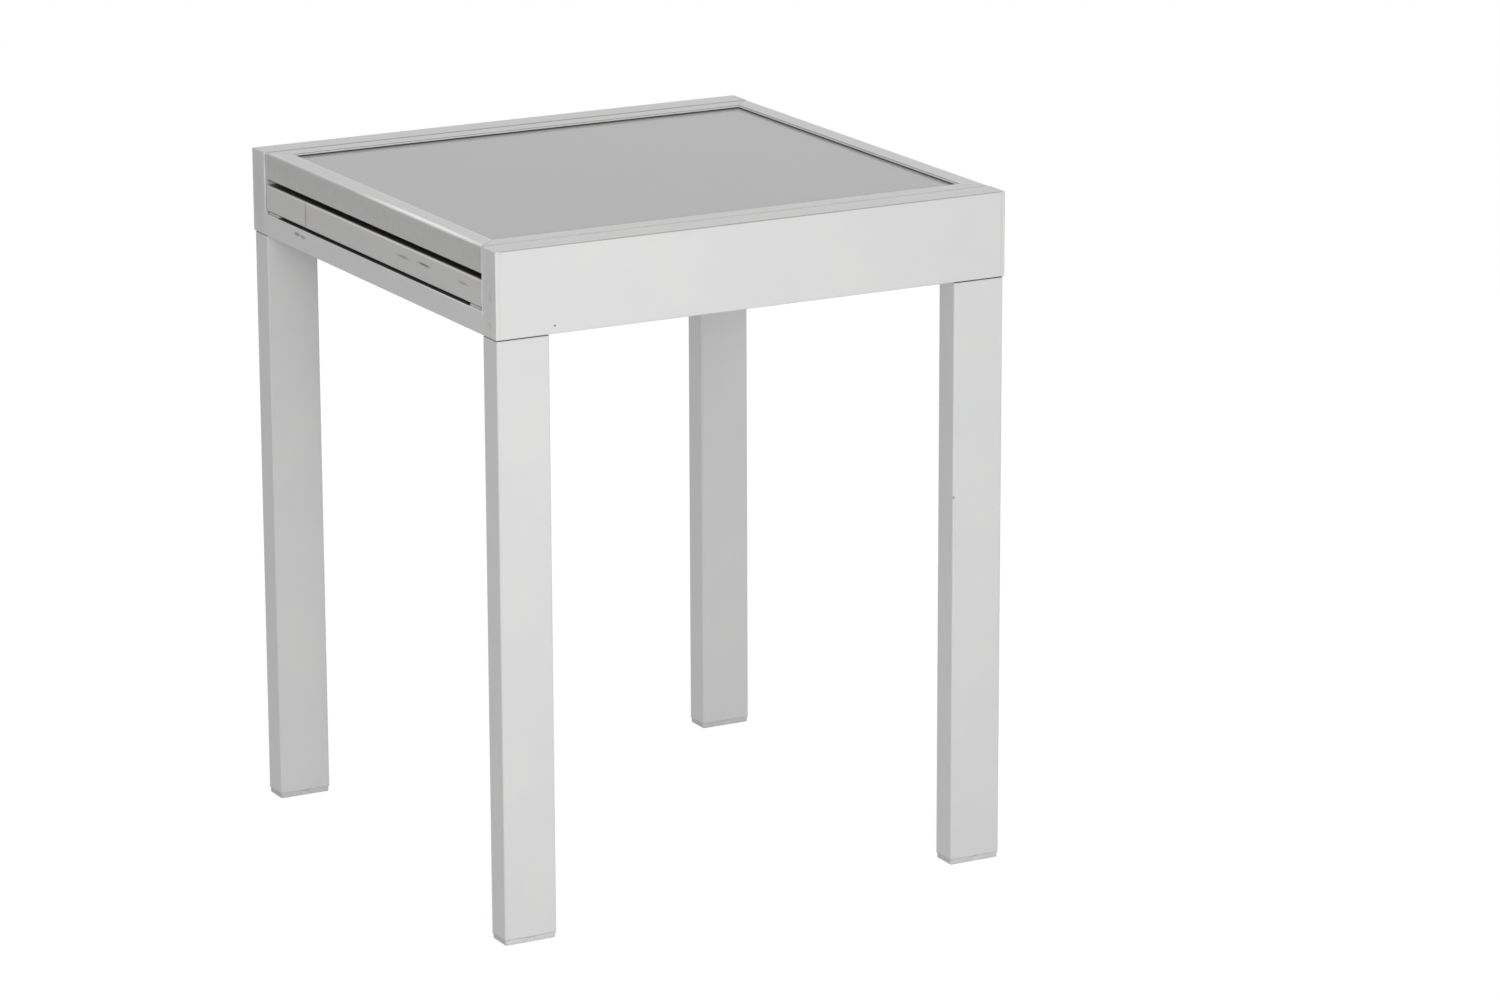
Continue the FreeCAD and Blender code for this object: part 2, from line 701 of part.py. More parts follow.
def leg_bolt_places():
    """The formulas for the leg bolts' axes, two in each leg."""
    places = []
    for x_sign, y_sign in CORNERS.values():
        for step in SIGNS:
            x = f"({x_sign} * {LEG_X} + {step} * sizes.leg_bolt_pitch / 2)"
            places.append((x, f"({y_sign} * {LEG_Y})"))
    return places


def build_leg_fasteners():
    """Flanged hexagon bolts down through the apron floors, and their nuts in the leg plugs."""
    bolts = new_body("leg_bolts", several=True)
    nuts = new_body("leg_nuts", several=True)
    shank = "(sizes.apron_floor + sizes.plug_flange + sizes.plug_depth + sizes.leg_bolt_tail)"
    bore = "(sizes.leg_bolt_diameter + sizes.hole_clearance)"
    for x, y in leg_bolt_places():
        seat = (x, y, "0")
        head = (x, y, "sizes.leg_bolt_flange")
        add_rod(bolts, seat, -UP, "sizes.leg_bolt_diameter", shank)
        add_rod(bolts, seat, UP, "sizes.leg_bolt_flange_diameter", "sizes.leg_bolt_flange")
        add_hexagon(bolts, head, UP, "sizes.leg_bolt_head_width", "sizes.leg_bolt_head_height")
        add_hexagon(nuts, seat, UP, "sizes.nut_width", "sizes.nut_height")
        drill(nuts, seat, UP, bore, "sizes.nut_height")
    place(bolts, z=f"{APRON_BOTTOM} + sizes.apron_floor")
    place(nuts, z=f"{LEG_TOP} - sizes.plug_depth")


def build_legs():
    """The four legs with their plugs, caps and bolts."""
    for corner in CORNERS:
        build_leg(corner)
        build_leg_plug(corner)
        build_foot_cap(corner)
    build_leg_fasteners()


# Leaves


def build_bar(label, length, screw_places=(), stud_places=()):
    """A leaf bar with its outer face at y = 0: hollow, grooved for the glass and mitred at both ends."""
    body = new_body(label)
    profile = new_sketch(body, "YZ_Plane", f"-{length} / 2")
    width = "sizes.bar_width"
    add_polygon(
        profile,
        [
            ("0", "0"),
            (width, "0"),
            (width, f"{GROOVE_BOTTOM} - sizes.bar_ledge"),
            ("sizes.bar_ledge_width", f"{GROOVE_BOTTOM} - sizes.bar_ledge"),
            ("sizes.bar_ledge_width", GROOVE_BOTTOM),
            (width, GROOVE_BOTTOM),
            (width, GROOVE_TOP),
            ("sizes.bar_lip_width", GROOVE_TOP),
            ("sizes.bar_lip_width", "sizes.leaf_height"),
            ("0", "sizes.leaf_height"),
        ],
    )
    wall = "sizes.bar_wall"
    add_rectangle(profile, wall, f"{width} - {wall}", wall, f"sizes.leaf_height - {wall}")
    pad(body, profile, length)
    fillet(body, "sizes.bar_lower_radius", on_line("x", y=0, z=0))
    fillet(body, "sizes.bar_upper_radius", on_line("x", y=0, z=value("sizes.leaf_height")))
    cut_mitres(body, length)
    for x in screw_places:
        drill(body, (x, "0", SHOE_HEIGHT), REARWARD, SHOE_HOLE, wall)
    for x, y in stud_places:
        drill(body, (x, y, "0"), UP, STUD_HOLE, wall)
    return body


def cut_mitres(body, length):
    """Cut both ends of a bar at 45 degrees, from its outer corners inwards."""
    reach = "(sizes.bar_ledge_width + sizes.bar_lip_width)"
    mitres = new_sketch(body, "XY_Plane")
    for sign in SIGNS:
        end = f"{sign} * {length} / 2"
        add_polygon(mitres, [(end, "0"), (f"{end} - {sign} * {reach}", reach), (end, reach)])
    cut(body, mitres, "sizes.leaf_height", along_normal=True)


def build_corner_keys(leaf, bottom):
    """The four L-shaped keys inside a leaf's mitred corners."""
    body = new_body(f"{leaf}_corner_keys", several=True)
    inset = "(sizes.bar_wall + sizes.key_clearance)"
    width = f"(sizes.bar_width - 2 * {inset})"
    keys = new_sketch(body, "XY_Plane")
    for x_sign, y_sign in CORNERS.values():
        x = f"({LEAF_LENGTH} / 2 - {inset})"
        y = f"({LEAF_WIDTH} / 2 - {inset})"
        corners = [
            (x, y),
            (f"({x} - sizes.key_arm)", y),
            (f"({x} - sizes.key_arm)", f"({y} - {width})"),
            (f"({x} - {width})", f"({y} - {width})"),
            (f"({x} - {width})", f"({y} - sizes.key_arm)"),
            (x, f"({y} - sizes.key_arm)"),
        ]
        add_polygon(keys, [(f"{x_sign} * {u}", f"{y_sign} * {v}") for u, v in corners])
    pad(body, keys, f"sizes.leaf_height - 2 * {inset}")
    place(body, z=f"{bottom} + {inset}")


def build_glass(leaf, bottom):
    """The pane, with its edges bevelled."""
    body = new_body(f"{leaf}_glass")
    pane = new_sketch(body, "XY_Plane")
    add_centred_rectangle(pane, f"({LEAF_LENGTH} - 2 * {GLASS_INSET})", f"({LEAF_WIDTH} - 2 * {GLASS_INSET})")
    pad(body, pane, "sizes.glass_thickness")
    for level in (0, value("sizes.glass_thickness")):
        for axis in "xy":
            chamfer(body, "sizes.glass_chamfer", on_line(axis, z=level))
    place(body, z=f"{bottom} + {GROOVE_BOTTOM} + sizes.seal_leg")


def build_seal(leaf, bottom):
    """The black seal: one ring of U section, wrapped round the pane's edge in the bars' groove."""
    body = new_body(f"{leaf}_glass_seal")
    ring = new_sketch(body, "XY_Plane")
    for inset in ("sizes.bar_width", "sizes.bar_lip_width"):
        add_centred_rectangle(ring, f"({LEAF_LENGTH} - 2 * {inset})", f"({LEAF_WIDTH} - 2 * {inset})")
    pad(body, ring, f"{GROOVE_TOP} - {GROOVE_BOTTOM}")
    slot = new_sketch(body, "XY_Plane", "sizes.seal_leg")
    add_centred_rectangle(slot, f"({LEAF_LENGTH} - 2 * {GLASS_INSET})", f"({LEAF_WIDTH} - 2 * {GLASS_INSET})")
    cut(body, slot, "sizes.glass_thickness", along_normal=True)
    place(body, z=f"{bottom} + {GROOVE_BOTTOM}")


def build_shoe(label, head_depth):
    """A T-shaped nylon shoe: its neck passes through the track's opening, its head runs in the chamber."""
    body = new_body(label)
    neck_half = f"({HALF_OPENING} - sizes.shoe_clearance)"
    head_half = f"({HALF_CHAMBER} - sizes.shoe_clearance)"
    face = f"(-{SHOE_NECK} - {head_depth})"
    profile = new_sketch(body, "YZ_Plane", "-sizes.shoe_length / 2")
    add_polygon(
        profile,
        [
            ("0", f"-{neck_half}"),
            ("0", neck_half),
            (f"-{SHOE_NECK}", neck_half),
            (f"-{SHOE_NECK}", head_half),
            (face, head_half),
            (face, f"-{head_half}"),
            (f"-{SHOE_NECK}", f"-{head_half}"),
            (f"-{SHOE_NECK}", f"-{neck_half}"),
        ],
    )
    pad(body, profile, "sizes.shoe_length")
    half_length = value("sizes.shoe_length") / 2
    for sign in SIGNS:
        chamfer(body, "sizes.shoe_chamfer", on_line("z", x=sign * half_length, y=value(face)))
    sink = "(sizes.shoe_screw_head_diameter + 2 * sizes.hole_clearance)"
    drill(body, ("0", face, "0"), REARWARD, SHOE_HOLE, f"-1 * {face}")
    drill(body, ("0", face, "0"), REARWARD, sink, f"-1 * {face} - sizes.shoe_screw_seat")
    return body


def build_shoe_screws(leaf, screw_places, bottom):
    """The screws that hold a leaf's shoes to its front and rear bars."""
    body = new_body(f"{leaf}_shoe_screws", several=True)
    shank = "(sizes.shoe_screw_seat + sizes.bar_wall + sizes.shoe_screw_tail)"
    for sign in SIGNS:
        y = f"{sign} * ({LEAF_WIDTH} / 2 + sizes.shoe_screw_seat)"
        for x in screw_places:
            add_screw(body, "shoe_screw", (x, y, SHOE_HEIGHT), REARWARD * -sign, shank)
    place(body, z=bottom)


def build_leaf(leaf, bottom, side, inner_shoe, head_depth, stud_places=()):
    """One leaf: four bars, keys, glass, seal, and four shoes on the half of it that stays in the tracks."""
    shoe_places = {"outer": f"({side} * {OUTER_SHOE_X})", "inner": f"({side} * {inner_shoe})"}
    screw_places = list(shoe_places.values())
    half_length = f"{LEAF_LENGTH} / 2"
    half_width = f"{LEAF_WIDTH} / 2"
    front = build_bar(f"{leaf}_front_bar", LEAF_LENGTH, screw_places)
    place(front, y=f"-{half_width}", z=bottom)
    rear = build_bar(f"{leaf}_rear_bar", LEAF_LENGTH, [f"-1 * {x}" for x in screw_places])
    place(rear, y=half_width, z=bottom, turn=180)
    left = build_bar(f"{leaf}_left_bar", LEAF_WIDTH, stud_places=stud_places)
    place(left, x=f"-{half_length}", z=bottom, turn=-90)
    right = build_bar(f"{leaf}_right_bar", LEAF_WIDTH, stud_places=stud_places)
    place(right, x=half_length, z=bottom, turn=90)
    build_corner_keys(leaf, bottom)
    build_glass(leaf, bottom)
    build_seal(leaf, bottom)
    for row, sign, turn in (("front", -1, 0), ("rear", 1, 180)):
        for place_name, x in shoe_places.items():
            shoe = build_shoe(f"{leaf}_{row}_{place_name}_shoe", head_depth)
            place(shoe, x, f"{sign} * {half_width}", f"{bottom} + {SHOE_HEIGHT}", turn)
    build_shoe_screws(leaf, screw_places, bottom)


def pad_stud_places():
    """Where the rest pads' studs go into an end bar, measured along and across the bar."""
    along = f"({LEAF_WIDTH} / 2 - sizes.pad_side_inset - sizes.pad_width / 2)"
    across = "(sizes.pad_end_inset + sizes.pad_depth / 2)"
    return [(f"{sign} * {along}", across) for sign in SIGNS]


def build_rest_pads():
    """Four pads under the lower leaf's corners, which rest on the end rails. Each has a stud in its bar."""
    body = new_body("lower_leaf_rest_pads", several=True)
    along, across = pad_stud_places()[1]
    x = f"({LEAF_LENGTH} / 2 - {across})"
    middles = [(f"{x_sign} * {x}", f"{y_sign} * {along}") for x_sign, y_sign in CORNERS.values()]
    soles = new_sketch(body, "XY_Plane")
    for middle in middles:
        add_centred_rectangle(soles, "sizes.pad_depth", "sizes.pad_width", *middle)
    pad(body, soles, PAD_HEIGHT, backwards=True)
    chamfer(body, "sizes.pad_chamfer", on_line("z"))
    for middle in middles:
        add_rod(body, (*middle, "0"), UP, "sizes.pad_stud_diameter", "sizes.bar_wall")
    place(body, z=LOWER_LEAF_BOTTOM)


def build_leaves():
    """The upper leaf, drawn out to the left, and the lower leaf, drawn out to the right."""
    build_leaf("upper_leaf", UPPER_LEAF_BOTTOM, 1, UPPER_INNER_SHOE_X, "sizes.upper_shoe_head")
    build_leaf(
        "lower_leaf",
        LOWER_LEAF_BOTTOM,
        -1,
        LOWER_INNER_SHOE_X,
        "sizes.lower_shoe_head",
        pad_stud_places(),
    )
    build_rest_pads()


# Build, check and write


def check_document():
    """Stop if any object failed, or any part's shape is missing or faulty."""
    for item in doc.Objects:
        if "Invalid" in item.State or "Error" in item.State:
            raise RuntimeError(f"{item.Label} failed: {item.State}")
    for body in parts:
        if body.Shape.isNull() or not body.Shape.isValid() or not body.Shape.Solids:
            raise RuntimeError(f"{body.Label} has no valid shape")


def write_parts():
    """Write each part's solids to a file named after it."""
    os.makedirs("parts", exist_ok=True)
    for body in parts:
        body.Shape.exportStep(f"parts/{body.Label}.step")
        print(f"{body.Label}: {len(body.Shape.Solids)} solid(s), {body.Shape.Volume / 1000:.2f} cm3")


def main():
    """Build the whole table and write its parts."""
    fill_sheet()
    build_aprons()
    build_end_frames()
    build_frame_screws()
    build_legs()
    build_leaves()
    doc.recompute()
    check_document()
    write_parts()


main()
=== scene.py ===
"""Dress the extending balcony table and set it in a plain white studio.

The CAD frame brings every rigid piece. This script gives each one its finish, moulds the four foot caps anew
with soft corners and sloped pry notches, and adds the floor, the lamps and the camera of the photograph.

Lengths are in metres, the marks' half sizes and the camera's lens in millimetres. The frame is the table's
own: +X along the aprons, +Y to the rear, +Z up.
"""

import logging
import math
from dataclasses import dataclass
from enum import Enum

import bpy
import numpy as np
from mathutils import Matrix, Vector


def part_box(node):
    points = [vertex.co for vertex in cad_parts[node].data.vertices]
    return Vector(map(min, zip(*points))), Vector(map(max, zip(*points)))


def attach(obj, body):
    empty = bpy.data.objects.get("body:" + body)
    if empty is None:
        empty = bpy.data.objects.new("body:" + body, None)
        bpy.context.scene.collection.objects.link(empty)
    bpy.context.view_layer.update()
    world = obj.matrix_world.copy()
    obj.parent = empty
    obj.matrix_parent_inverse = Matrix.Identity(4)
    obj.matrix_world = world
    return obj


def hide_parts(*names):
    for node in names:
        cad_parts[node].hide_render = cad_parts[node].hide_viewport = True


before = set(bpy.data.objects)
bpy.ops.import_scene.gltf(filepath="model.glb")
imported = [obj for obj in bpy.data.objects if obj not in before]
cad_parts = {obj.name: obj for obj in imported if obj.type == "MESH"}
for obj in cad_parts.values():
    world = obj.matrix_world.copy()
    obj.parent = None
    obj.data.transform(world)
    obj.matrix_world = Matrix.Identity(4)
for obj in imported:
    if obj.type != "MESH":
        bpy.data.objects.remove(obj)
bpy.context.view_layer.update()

MM = 0.001

Colour = tuple[float, float, float]
Point = tuple[float, float, float]
Tree = bpy.types.NodeTree
Node = bpy.types.Node
Socket = bpy.types.NodeSocket
Material = bpy.types.Material

log = logging.getLogger("balcony_table")


class Grain(Enum):
    """The way a bar was drawn through its die: line pattern features per metre along X, Y and Z."""

    ALONG_X = (5.0, 900.0, 900.0)
    ALONG_Y = (900.0, 5.0, 900.0)
    ALONG_Z = (900.0, 900.0, 5.0)
    CAST = (260.0, 260.0, 260.0)


class Corner(Enum):
    """The four corners of the table, by the words that the names of the pieces there begin with."""

    FRONT_LEFT = "front_left"
    FRONT_RIGHT = "front_right"
    REAR_LEFT = "rear_left"
    REAR_RIGHT = "rear_right"


class Level(Enum):
    """The two stacked leaves, by the CAD body that each one is."""

    UPPER = "upper_leaf"
    LOWER = "lower_leaf"


# Shader wiring


class Wiring:
    """Adds nodes to a shader tree and joins them, so that a finish reads as a list of steps."""

    MIX_FACTOR, MIX_FIRST, MIX_SECOND, MIX_RESULT = 0, 6, 7, 2

    def __init__(self, tree: Tree) -> None:
        """Take hold of a tree.

        Args:
            tree: the node tree of a material, a world or a group.
        """
        self.tree = tree

    def feed(self, socket: Socket, value: object) -> None:
        """Link an output to an input, or set the input's own value.

        Args:
            socket: the input.
            value: an output socket, a number, a vector or a colour.
        """
        if isinstance(value, Socket):
            self.tree.links.new(value, socket)
        elif socket.type == "RGBA":
            socket.default_value = (*value, 1.0)
        else:
            socket.default_value = value

    def feed_all(self, node: Node, inputs: dict[str, object]) -> Node:
        """Feed a node's inputs.

        Args:
            node: the node.
            inputs: values or sockets, by the input's name with underscores for spaces.

        Returns:
            The node.
        """
        for name, value in inputs.items():
            self.feed(node.inputs[name.replace("_", " ")], value)
        return node

    def node(self, kind: str, **inputs: object) -> Node:
        """Add a node of a kind and feed its inputs."""
        return self.feed_all(self.tree.nodes.new(kind), inputs)

    def place(self, group: Tree, **inputs: object) -> Node:
        """Place a node group and feed its inputs.

        Args:
            group: the group's tree.
            **inputs: values or sockets, as for any node.

        Returns:
            The group's node.
        """
        made = self.tree.nodes.new("ShaderNodeGroup")
        made.node_tree = group
        return self.feed_all(made, inputs)

    def operate(self, kind: str, operation: str, first: object, second: object) -> Node:
        """Add a node that works a result out of two inputs.

        Args:
            kind: the node's type name.
            operation: the node's operation.
            first: the first value or socket.
            second: the second value or socket, which some operations don't use.

        Returns:
            The node.
        """
        made = self.tree.nodes.new(kind)
        made.operation = operation
        self.feed(made.inputs[0], first)
        self.feed(made.inputs[1], second)
        return made

    def math(self, operation: str, first: object, second: object = 0.0) -> Socket:
        """Work out a number from one or two others."""
        return self.operate("ShaderNodeMath", operation, first, second).outputs[0]

    def vector(self, operation: str, first: object, second: object = (0.0, 0.0, 0.0)) -> Socket:
        """Work out a vector, or for a length or a dot product a number."""
        made = self.operate("ShaderNodeVectorMath", operation, first, second)
        return made.outputs["Value" if operation in ("LENGTH", "DOT_PRODUCT") else "Vector"]

    def noise(self, place: object, scale: float, detail: float) -> Socket:
        """Read a noise pattern.

        Args:
            place: the coordinates.
            scale: features per unit of the coordinates.
            detail: finer layers on top of the first.

        Returns:
            The socket of a value that wanders about one half.
        """
        return self.node("ShaderNodeTexNoise", Vector=place, Scale=scale, Detail=detail).outputs["Fac"]

    def ease(self, value: object, low: float, high: float, start: float = 0.0, end: float = 1.0) -> Socket:
        """Ease a value between two marks, smoothly and without going beyond them.

        Args:
            value: the number or socket.
            low: the mark where the result leaves its start.
            high: the mark where the result reaches its end.
            start: the result below the low mark.
            end: the result above the high mark.

        Returns:
            The eased value's socket.
        """
        made = self.tree.nodes.new("ShaderNodeMapRange")
        made.interpolation_type = "SMOOTHSTEP"
        limits = {"Value": value, "From Min": low, "From Max": high, "To Min": start, "To Max": end}
        return self.feed_all(made, limits).outputs["Result"]

    def mix(self, factor: object, first: object, second: object, blend: str = "MIX") -> Socket:
        """Mix two colours.

        Args:
            factor: how much of the second there is.
            first: a colour or socket.
            second: a colour or socket.
            blend: the way they are mixed.

        Returns:
            The mixed colour's socket.
        """
        made = self.tree.nodes.new("ShaderNodeMix")
        made.data_type = "RGBA"
        made.blend_type = blend
        self.feed(made.inputs[self.MIX_FACTOR], factor)
        self.feed(made.inputs[self.MIX_FIRST], first)
        self.feed(made.inputs[self.MIX_SECOND], second)
        return made.outputs[self.MIX_RESULT]

    def lay(self, mask: Socket, share: float, colour: Socket, over: Colour) -> Socket:
        """Lay a second colour over a first, through a share of a mask."""
        return self.mix(self.math("MULTIPLY", mask, share), colour, over)


class EffectGroup:
    """A shader node group under construction, with its named inputs and outputs."""

    def __init__(self, name: str, inputs: dict[str, str], outputs: dict[str, str]) -> None:
        """Open a new group.

        Args:
            name: the group's name.
            inputs: socket types by input name.
            outputs: socket types by output name.
        """
        self.tree = bpy.data.node_groups.new(name, "ShaderNodeTree")
        for socket_name, kind in inputs.items():
            self.tree.interface.new_socket(socket_name, in_out="INPUT", socket_type=kind)
        for socket_name, kind in outputs.items():
            self.tree.interface.new_socket(socket_name, in_out="OUTPUT", socket_type=kind)
        self.wiring = Wiring(self.tree)
        self.entry = self.tree.nodes.new("NodeGroupInput")
        self.exit = self.tree.nodes.new("NodeGroupOutput")

    def take(self, name: str) -> Socket:
        """The socket of one of the group's inputs."""
        return self.entry.outputs[name]

    def give(self, name: str, value: Socket) -> None:
        """Link a result to one of the group's outputs."""
        self.wiring.feed(self.exit.inputs[name], value)


VECTOR = "NodeSocketVector"
NUMBER = "NodeSocketFloat"

# Shares of the fine and the broad die lines, and the broad ones' scale
FINE_SHARE = 0.8
BROAD_SHARE = 0.2
BROAD_SCALE = 0.12

# How dense specks are, and the noise values where one begins and is full
SPECKS_PER_METRE = 1300.0
SPECK_RANGE = (0.66, 0.80)

# Cosines of the lean where the edge mask begins and is full, and the samples of its two rounded normals
EDGE_RANGE = (0.995, 0.90)
RADIUS_SAMPLES = 6
REACH_SAMPLES = 8

# Distances, in half sizes, where a mark begins and is full, and how dense the ripple of its rim is
RIM_RANGE = (1.05, 0.45)
RIPPLES_PER_METRE = 900.0

# The way over which the painted end-face shade fades in, and the cosine above which a face counts as looking
# one way
END_SHADE_FADE = 0.5 * MM
FACING_COSINE = 0.9


def die_line_group() -> Tree:
    """Build the group for the fine lines that a die draws along a bar: noise stretched along one axis.

    Returns:
        The group, which puts out Lines, a value about one half.
    """
    group = EffectGroup("die lines", {"Place": VECTOR, "Stretch": VECTOR}, {"Lines": NUMBER})
    wiring = group.wiring
    stretched = wiring.vector("MULTIPLY", group.take("Place"), group.take("Stretch"))
    fine = wiring.noise(stretched, 1.0, 2.0)
    broad = wiring.noise(stretched, BROAD_SCALE, 1.0)
    fine_part = wiring.math("MULTIPLY", fine, FINE_SHARE)
    broad_part = wiring.math("MULTIPLY", broad, BROAD_SHARE)
    group.give("Lines", wiring.math("ADD", fine_part, broad_part))
    return group.tree


def cloud_group() -> Tree:
    """Build the group for uneven tone: soft clouds a few centimetres wide, and pin-prick specks.

    Returns:
        The group, which puts out Cloud, a value about one half, and Speck, a mask.
    """
    inputs = {"Place": VECTOR, "Per metre": NUMBER}
    group = EffectGroup("clouds and specks", inputs, {"Cloud": NUMBER, "Speck": NUMBER})
    wiring = group.wiring
    group.give("Cloud", wiring.noise(group.take("Place"), group.take("Per metre"), 3.0))
    specks = wiring.noise(group.take("Place"), SPECKS_PER_METRE, 1.0)
    group.give("Speck", wiring.ease(specks, *SPECK_RANGE))
    return group.tree


# The edge mask carries wear on plastic and zinc, and painted highlights and painted shade lines on the
# aluminium
def edge_wear_and_light_group() -> Tree:
    """Build the group for edges: how far a normal rounded over the reach leans away from the face's own.

    Returns:
        The group, which puts out Edge, a mask, and Normal, the rounded normal.
    """
    inputs = {"Radius": NUMBER, "Reach": NUMBER}
    group = EffectGroup("edge wear and painted edge light", inputs, {"Edge": NUMBER, "Normal": VECTOR})
    wiring = group.wiring
    rounded = wiring.node("ShaderNodeBevel", Radius=group.take("Radius"))
    rounded.samples = RADIUS_SAMPLES
    swept = wiring.node("ShaderNodeBevel", Radius=group.take("Reach"))
    swept.samples = REACH_SAMPLES
    face = wiring.node("ShaderNodeNewGeometry").outputs["True Normal"]
    leaning = wiring.vector("DOT_PRODUCT", swept.outputs["Normal"], face)
    group.give("Edge", wiring.ease(leaning, *EDGE_RANGE))
    group.give("Normal", rounded.outputs["Normal"])
    return group.tree


def mark_mask_group() -> Tree:
    """Build the group for one mark of real wear, painted highlight or painted shade: an ellipsoid about a
    centre, faded at its rim, ragged or plain.

    Returns:
        The group, which puts out Mask.
    """
    inputs = {"Place": VECTOR, "Centre": VECTOR, "Half size": VECTOR, "Ragged": NUMBER}
    group = EffectGroup("wear and painted light mark", inputs, {"Mask": NUMBER})
    wiring = group.wiring
    offset = wiring.vector("SUBTRACT", group.take("Place"), group.take("Centre"))
    reach = wiring.vector("LENGTH", wiring.vector("DIVIDE", offset, group.take("Half size")))
    ripple = wiring.noise(group.take("Place"), RIPPLES_PER_METRE, 2.0)
    wander = wiring.math("SUBTRACT", ripple, 0.5)
    rim = wiring.math("ADD", reach, wiring.math("MULTIPLY", wander, group.take("Ragged")))
    group.give("Mask", wiring.ease(rim, *RIM_RANGE))
    return group.tree


def end_face_shade_group() -> Tree:
    """Build the group for painted shade on the end faces, beyond a distance from the middle.

    Returns:
        The group, which puts out Mask.
    """
    group = EffectGroup("painted end-face shade", {"Place": VECTOR, "Beyond": NUMBER}, {"Mask": NUMBER})
    wiring = group.wiring
    along = wiring.node("ShaderNodeSeparateXYZ", Vector=group.take("Place")).outputs["X"]
    past = wiring.math("SUBTRACT", wiring.math("ABSOLUTE", along), group.take("Beyond"))
    group.give("Mask", wiring.ease(past, 0.0, END_SHADE_FADE))
    return group.tree


def gap_shade_group() -> Tree:
    """Build the group for painted gap shade: faces that look one way within a range of heights and a length.

    Returns:
        The group, which puts out Mask.
    """
    inputs = {"Place": VECTOR, "Facing": VECTOR, "Low": NUMBER, "High": NUMBER, "Half length": NUMBER}
    group = EffectGroup("painted gap shade", inputs, {"Mask": NUMBER})
    wiring = group.wiring
    face = wiring.node("ShaderNodeNewGeometry").outputs["True Normal"]
    towards = wiring.vector("DOT_PRODUCT", face, group.take("Facing"))
    facing = wiring.math("GREATER_THAN", towards, FACING_COSINE)
    spot = wiring.node("ShaderNodeSeparateXYZ", Vector=group.take("Place")).outputs
    above = wiring.math("GREATER_THAN", spot["Z"], group.take("Low"))
    below = wiring.math("LESS_THAN", spot["Z"], group.take("High"))
    between = wiring.math("LESS_THAN", wiring.math("ABSOLUTE", spot["Y"]), group.take("Half length"))
    at_height = wiring.math("MULTIPLY", above, below)
    group.give("Mask", wiring.math("MULTIPLY", wiring.math("MULTIPLY", facing, between), at_height))
    return group.tree


class Effects:
    """The node groups that the finishes share."""

    def __init__(self) -> None:
        """Build the groups, each of them once."""
        self.die_lines = die_line_group()
        self.clouds = cloud_group()
        self.edge_wear_and_light = edge_wear_and_light_group()
        self.mark_mask = mark_mask_group()
        self.end_face_shade = end_face_shade_group()
        self.gap_shade = gap_shade_group()


# Finishes

# Noise values between which clouds, and between which wider patterns, run from end to end
CLOUD_RANGE = (0.30, 0.70)
WIDE_RANGE = (0.25, 0.75)


class Surface:
    """A new material with its Principled shader and Object coordinates at hand."""

    def __init__(self, name: str) -> None:
        """Open the material.

        Args:
            name: the material's name.
        """
        self.material = bpy.data.materials.new(name)
        self.material.use_nodes = True
        self.wiring = Wiring(self.material.node_tree)
        self.shader = self.material.node_tree.nodes["Principled BSDF"]
        self.place = self.wiring.node("ShaderNodeTexCoord").outputs["Object"]

    def set(self, **inputs: object) -> None:
        """Feed the shader's inputs, by name with underscores for spaces."""
        self.wiring.feed_all(self.shader, inputs)

    def roughen(self, height: Socket, distance: float, strength: float, normal: Socket) -> None:
        """Give the shader a bumped normal.

        Args:
            height: the height pattern, from 0 to 1.
            distance: the height of 1, in metres.
            strength: how much of the bump shows.
            normal: the normal that it starts from.
        """
        relief = {"Strength": strength, "Distance": distance, "Height": height, "Normal": normal}
        bump = self.wiring.node("ShaderNodeBump", **relief)
        self.set(Normal=bump.outputs["Normal"])


def shade(tone: Colour, factor: float) -> Colour:
    """A tone made lighter or darker by a factor."""
    return tuple(channel * factor for channel in tone)


def tinted(tone: Colour, tint: Colour) -> Colour:
    """A tone multiplied by a tint, channel by channel."""
    return tuple(channel * factor for channel, factor in zip(tone, tint))


@dataclass(frozen=True)
class Mark:
    """A mark at a place that the photograph shows: a real rub or scratch, a painted highlight, a painted
    shade line or a broad darker patch.

    Args:
        centre: its middle.
        half_mm: its half sizes, in millimetres.
        tint: the colour that the metal is multiplied by there.
        ragged: how far its rim wanders, in half sizes.
    """

    centre: Point
    half_mm: Point
    tint: Colour
    ragged: float = 1.0


def edge_line(centre: Point, half_mm: Point, tint: Colour) -> Mark:
    """A mark with a plain rim, for a painted highlight or a painted shade line along an edge."""
    return Mark(centre, half_mm, tint, ragged=0.0)


def lay_marks(surface: Surface, effects: Effects, marks: tuple[Mark, ...], colour: Socket) -> Socket:
    """Lay marks over a colour.

    Args:
        surface: the material.
        effects: the shared node groups.
        marks: the marks.
        colour: the colour so far.

    Returns:
        The marked colour.
    """
    wiring = surface.wiring
    # The marks hold real rubs and scratches as well as painted highlights and painted shade
    for mark in marks:
        half = [size * MM for size in mark.half_mm]
        shape = {"Centre": mark.centre, "Half_size": half, "Ragged": mark.ragged}
        rub = wiring.place(effects.mark_mask, Place=surface.place, **shape)
        colour = wiring.mix(rub.outputs["Mask"], colour, mark.tint, "MULTIPLY")
    return colour


@dataclass(frozen=True)
class GapShade:
    """Painted shade on the faces in a gap between parts: a dark tint where shade falls between sliding
    pieces.

    Args:
        facing: the way that the shaded faces look.
        low: the lower end of the range of heights that they lie in.
        high: the upper end.
        half_length: how far it reaches to the front and to the rear of the middle.
        tint: the colour that the metal is multiplied by.
    """

    facing: Point
    low: float
    high: float
    half_length: float = 1.0
    tint: Colour = (0.10, 0.10, 0.10)


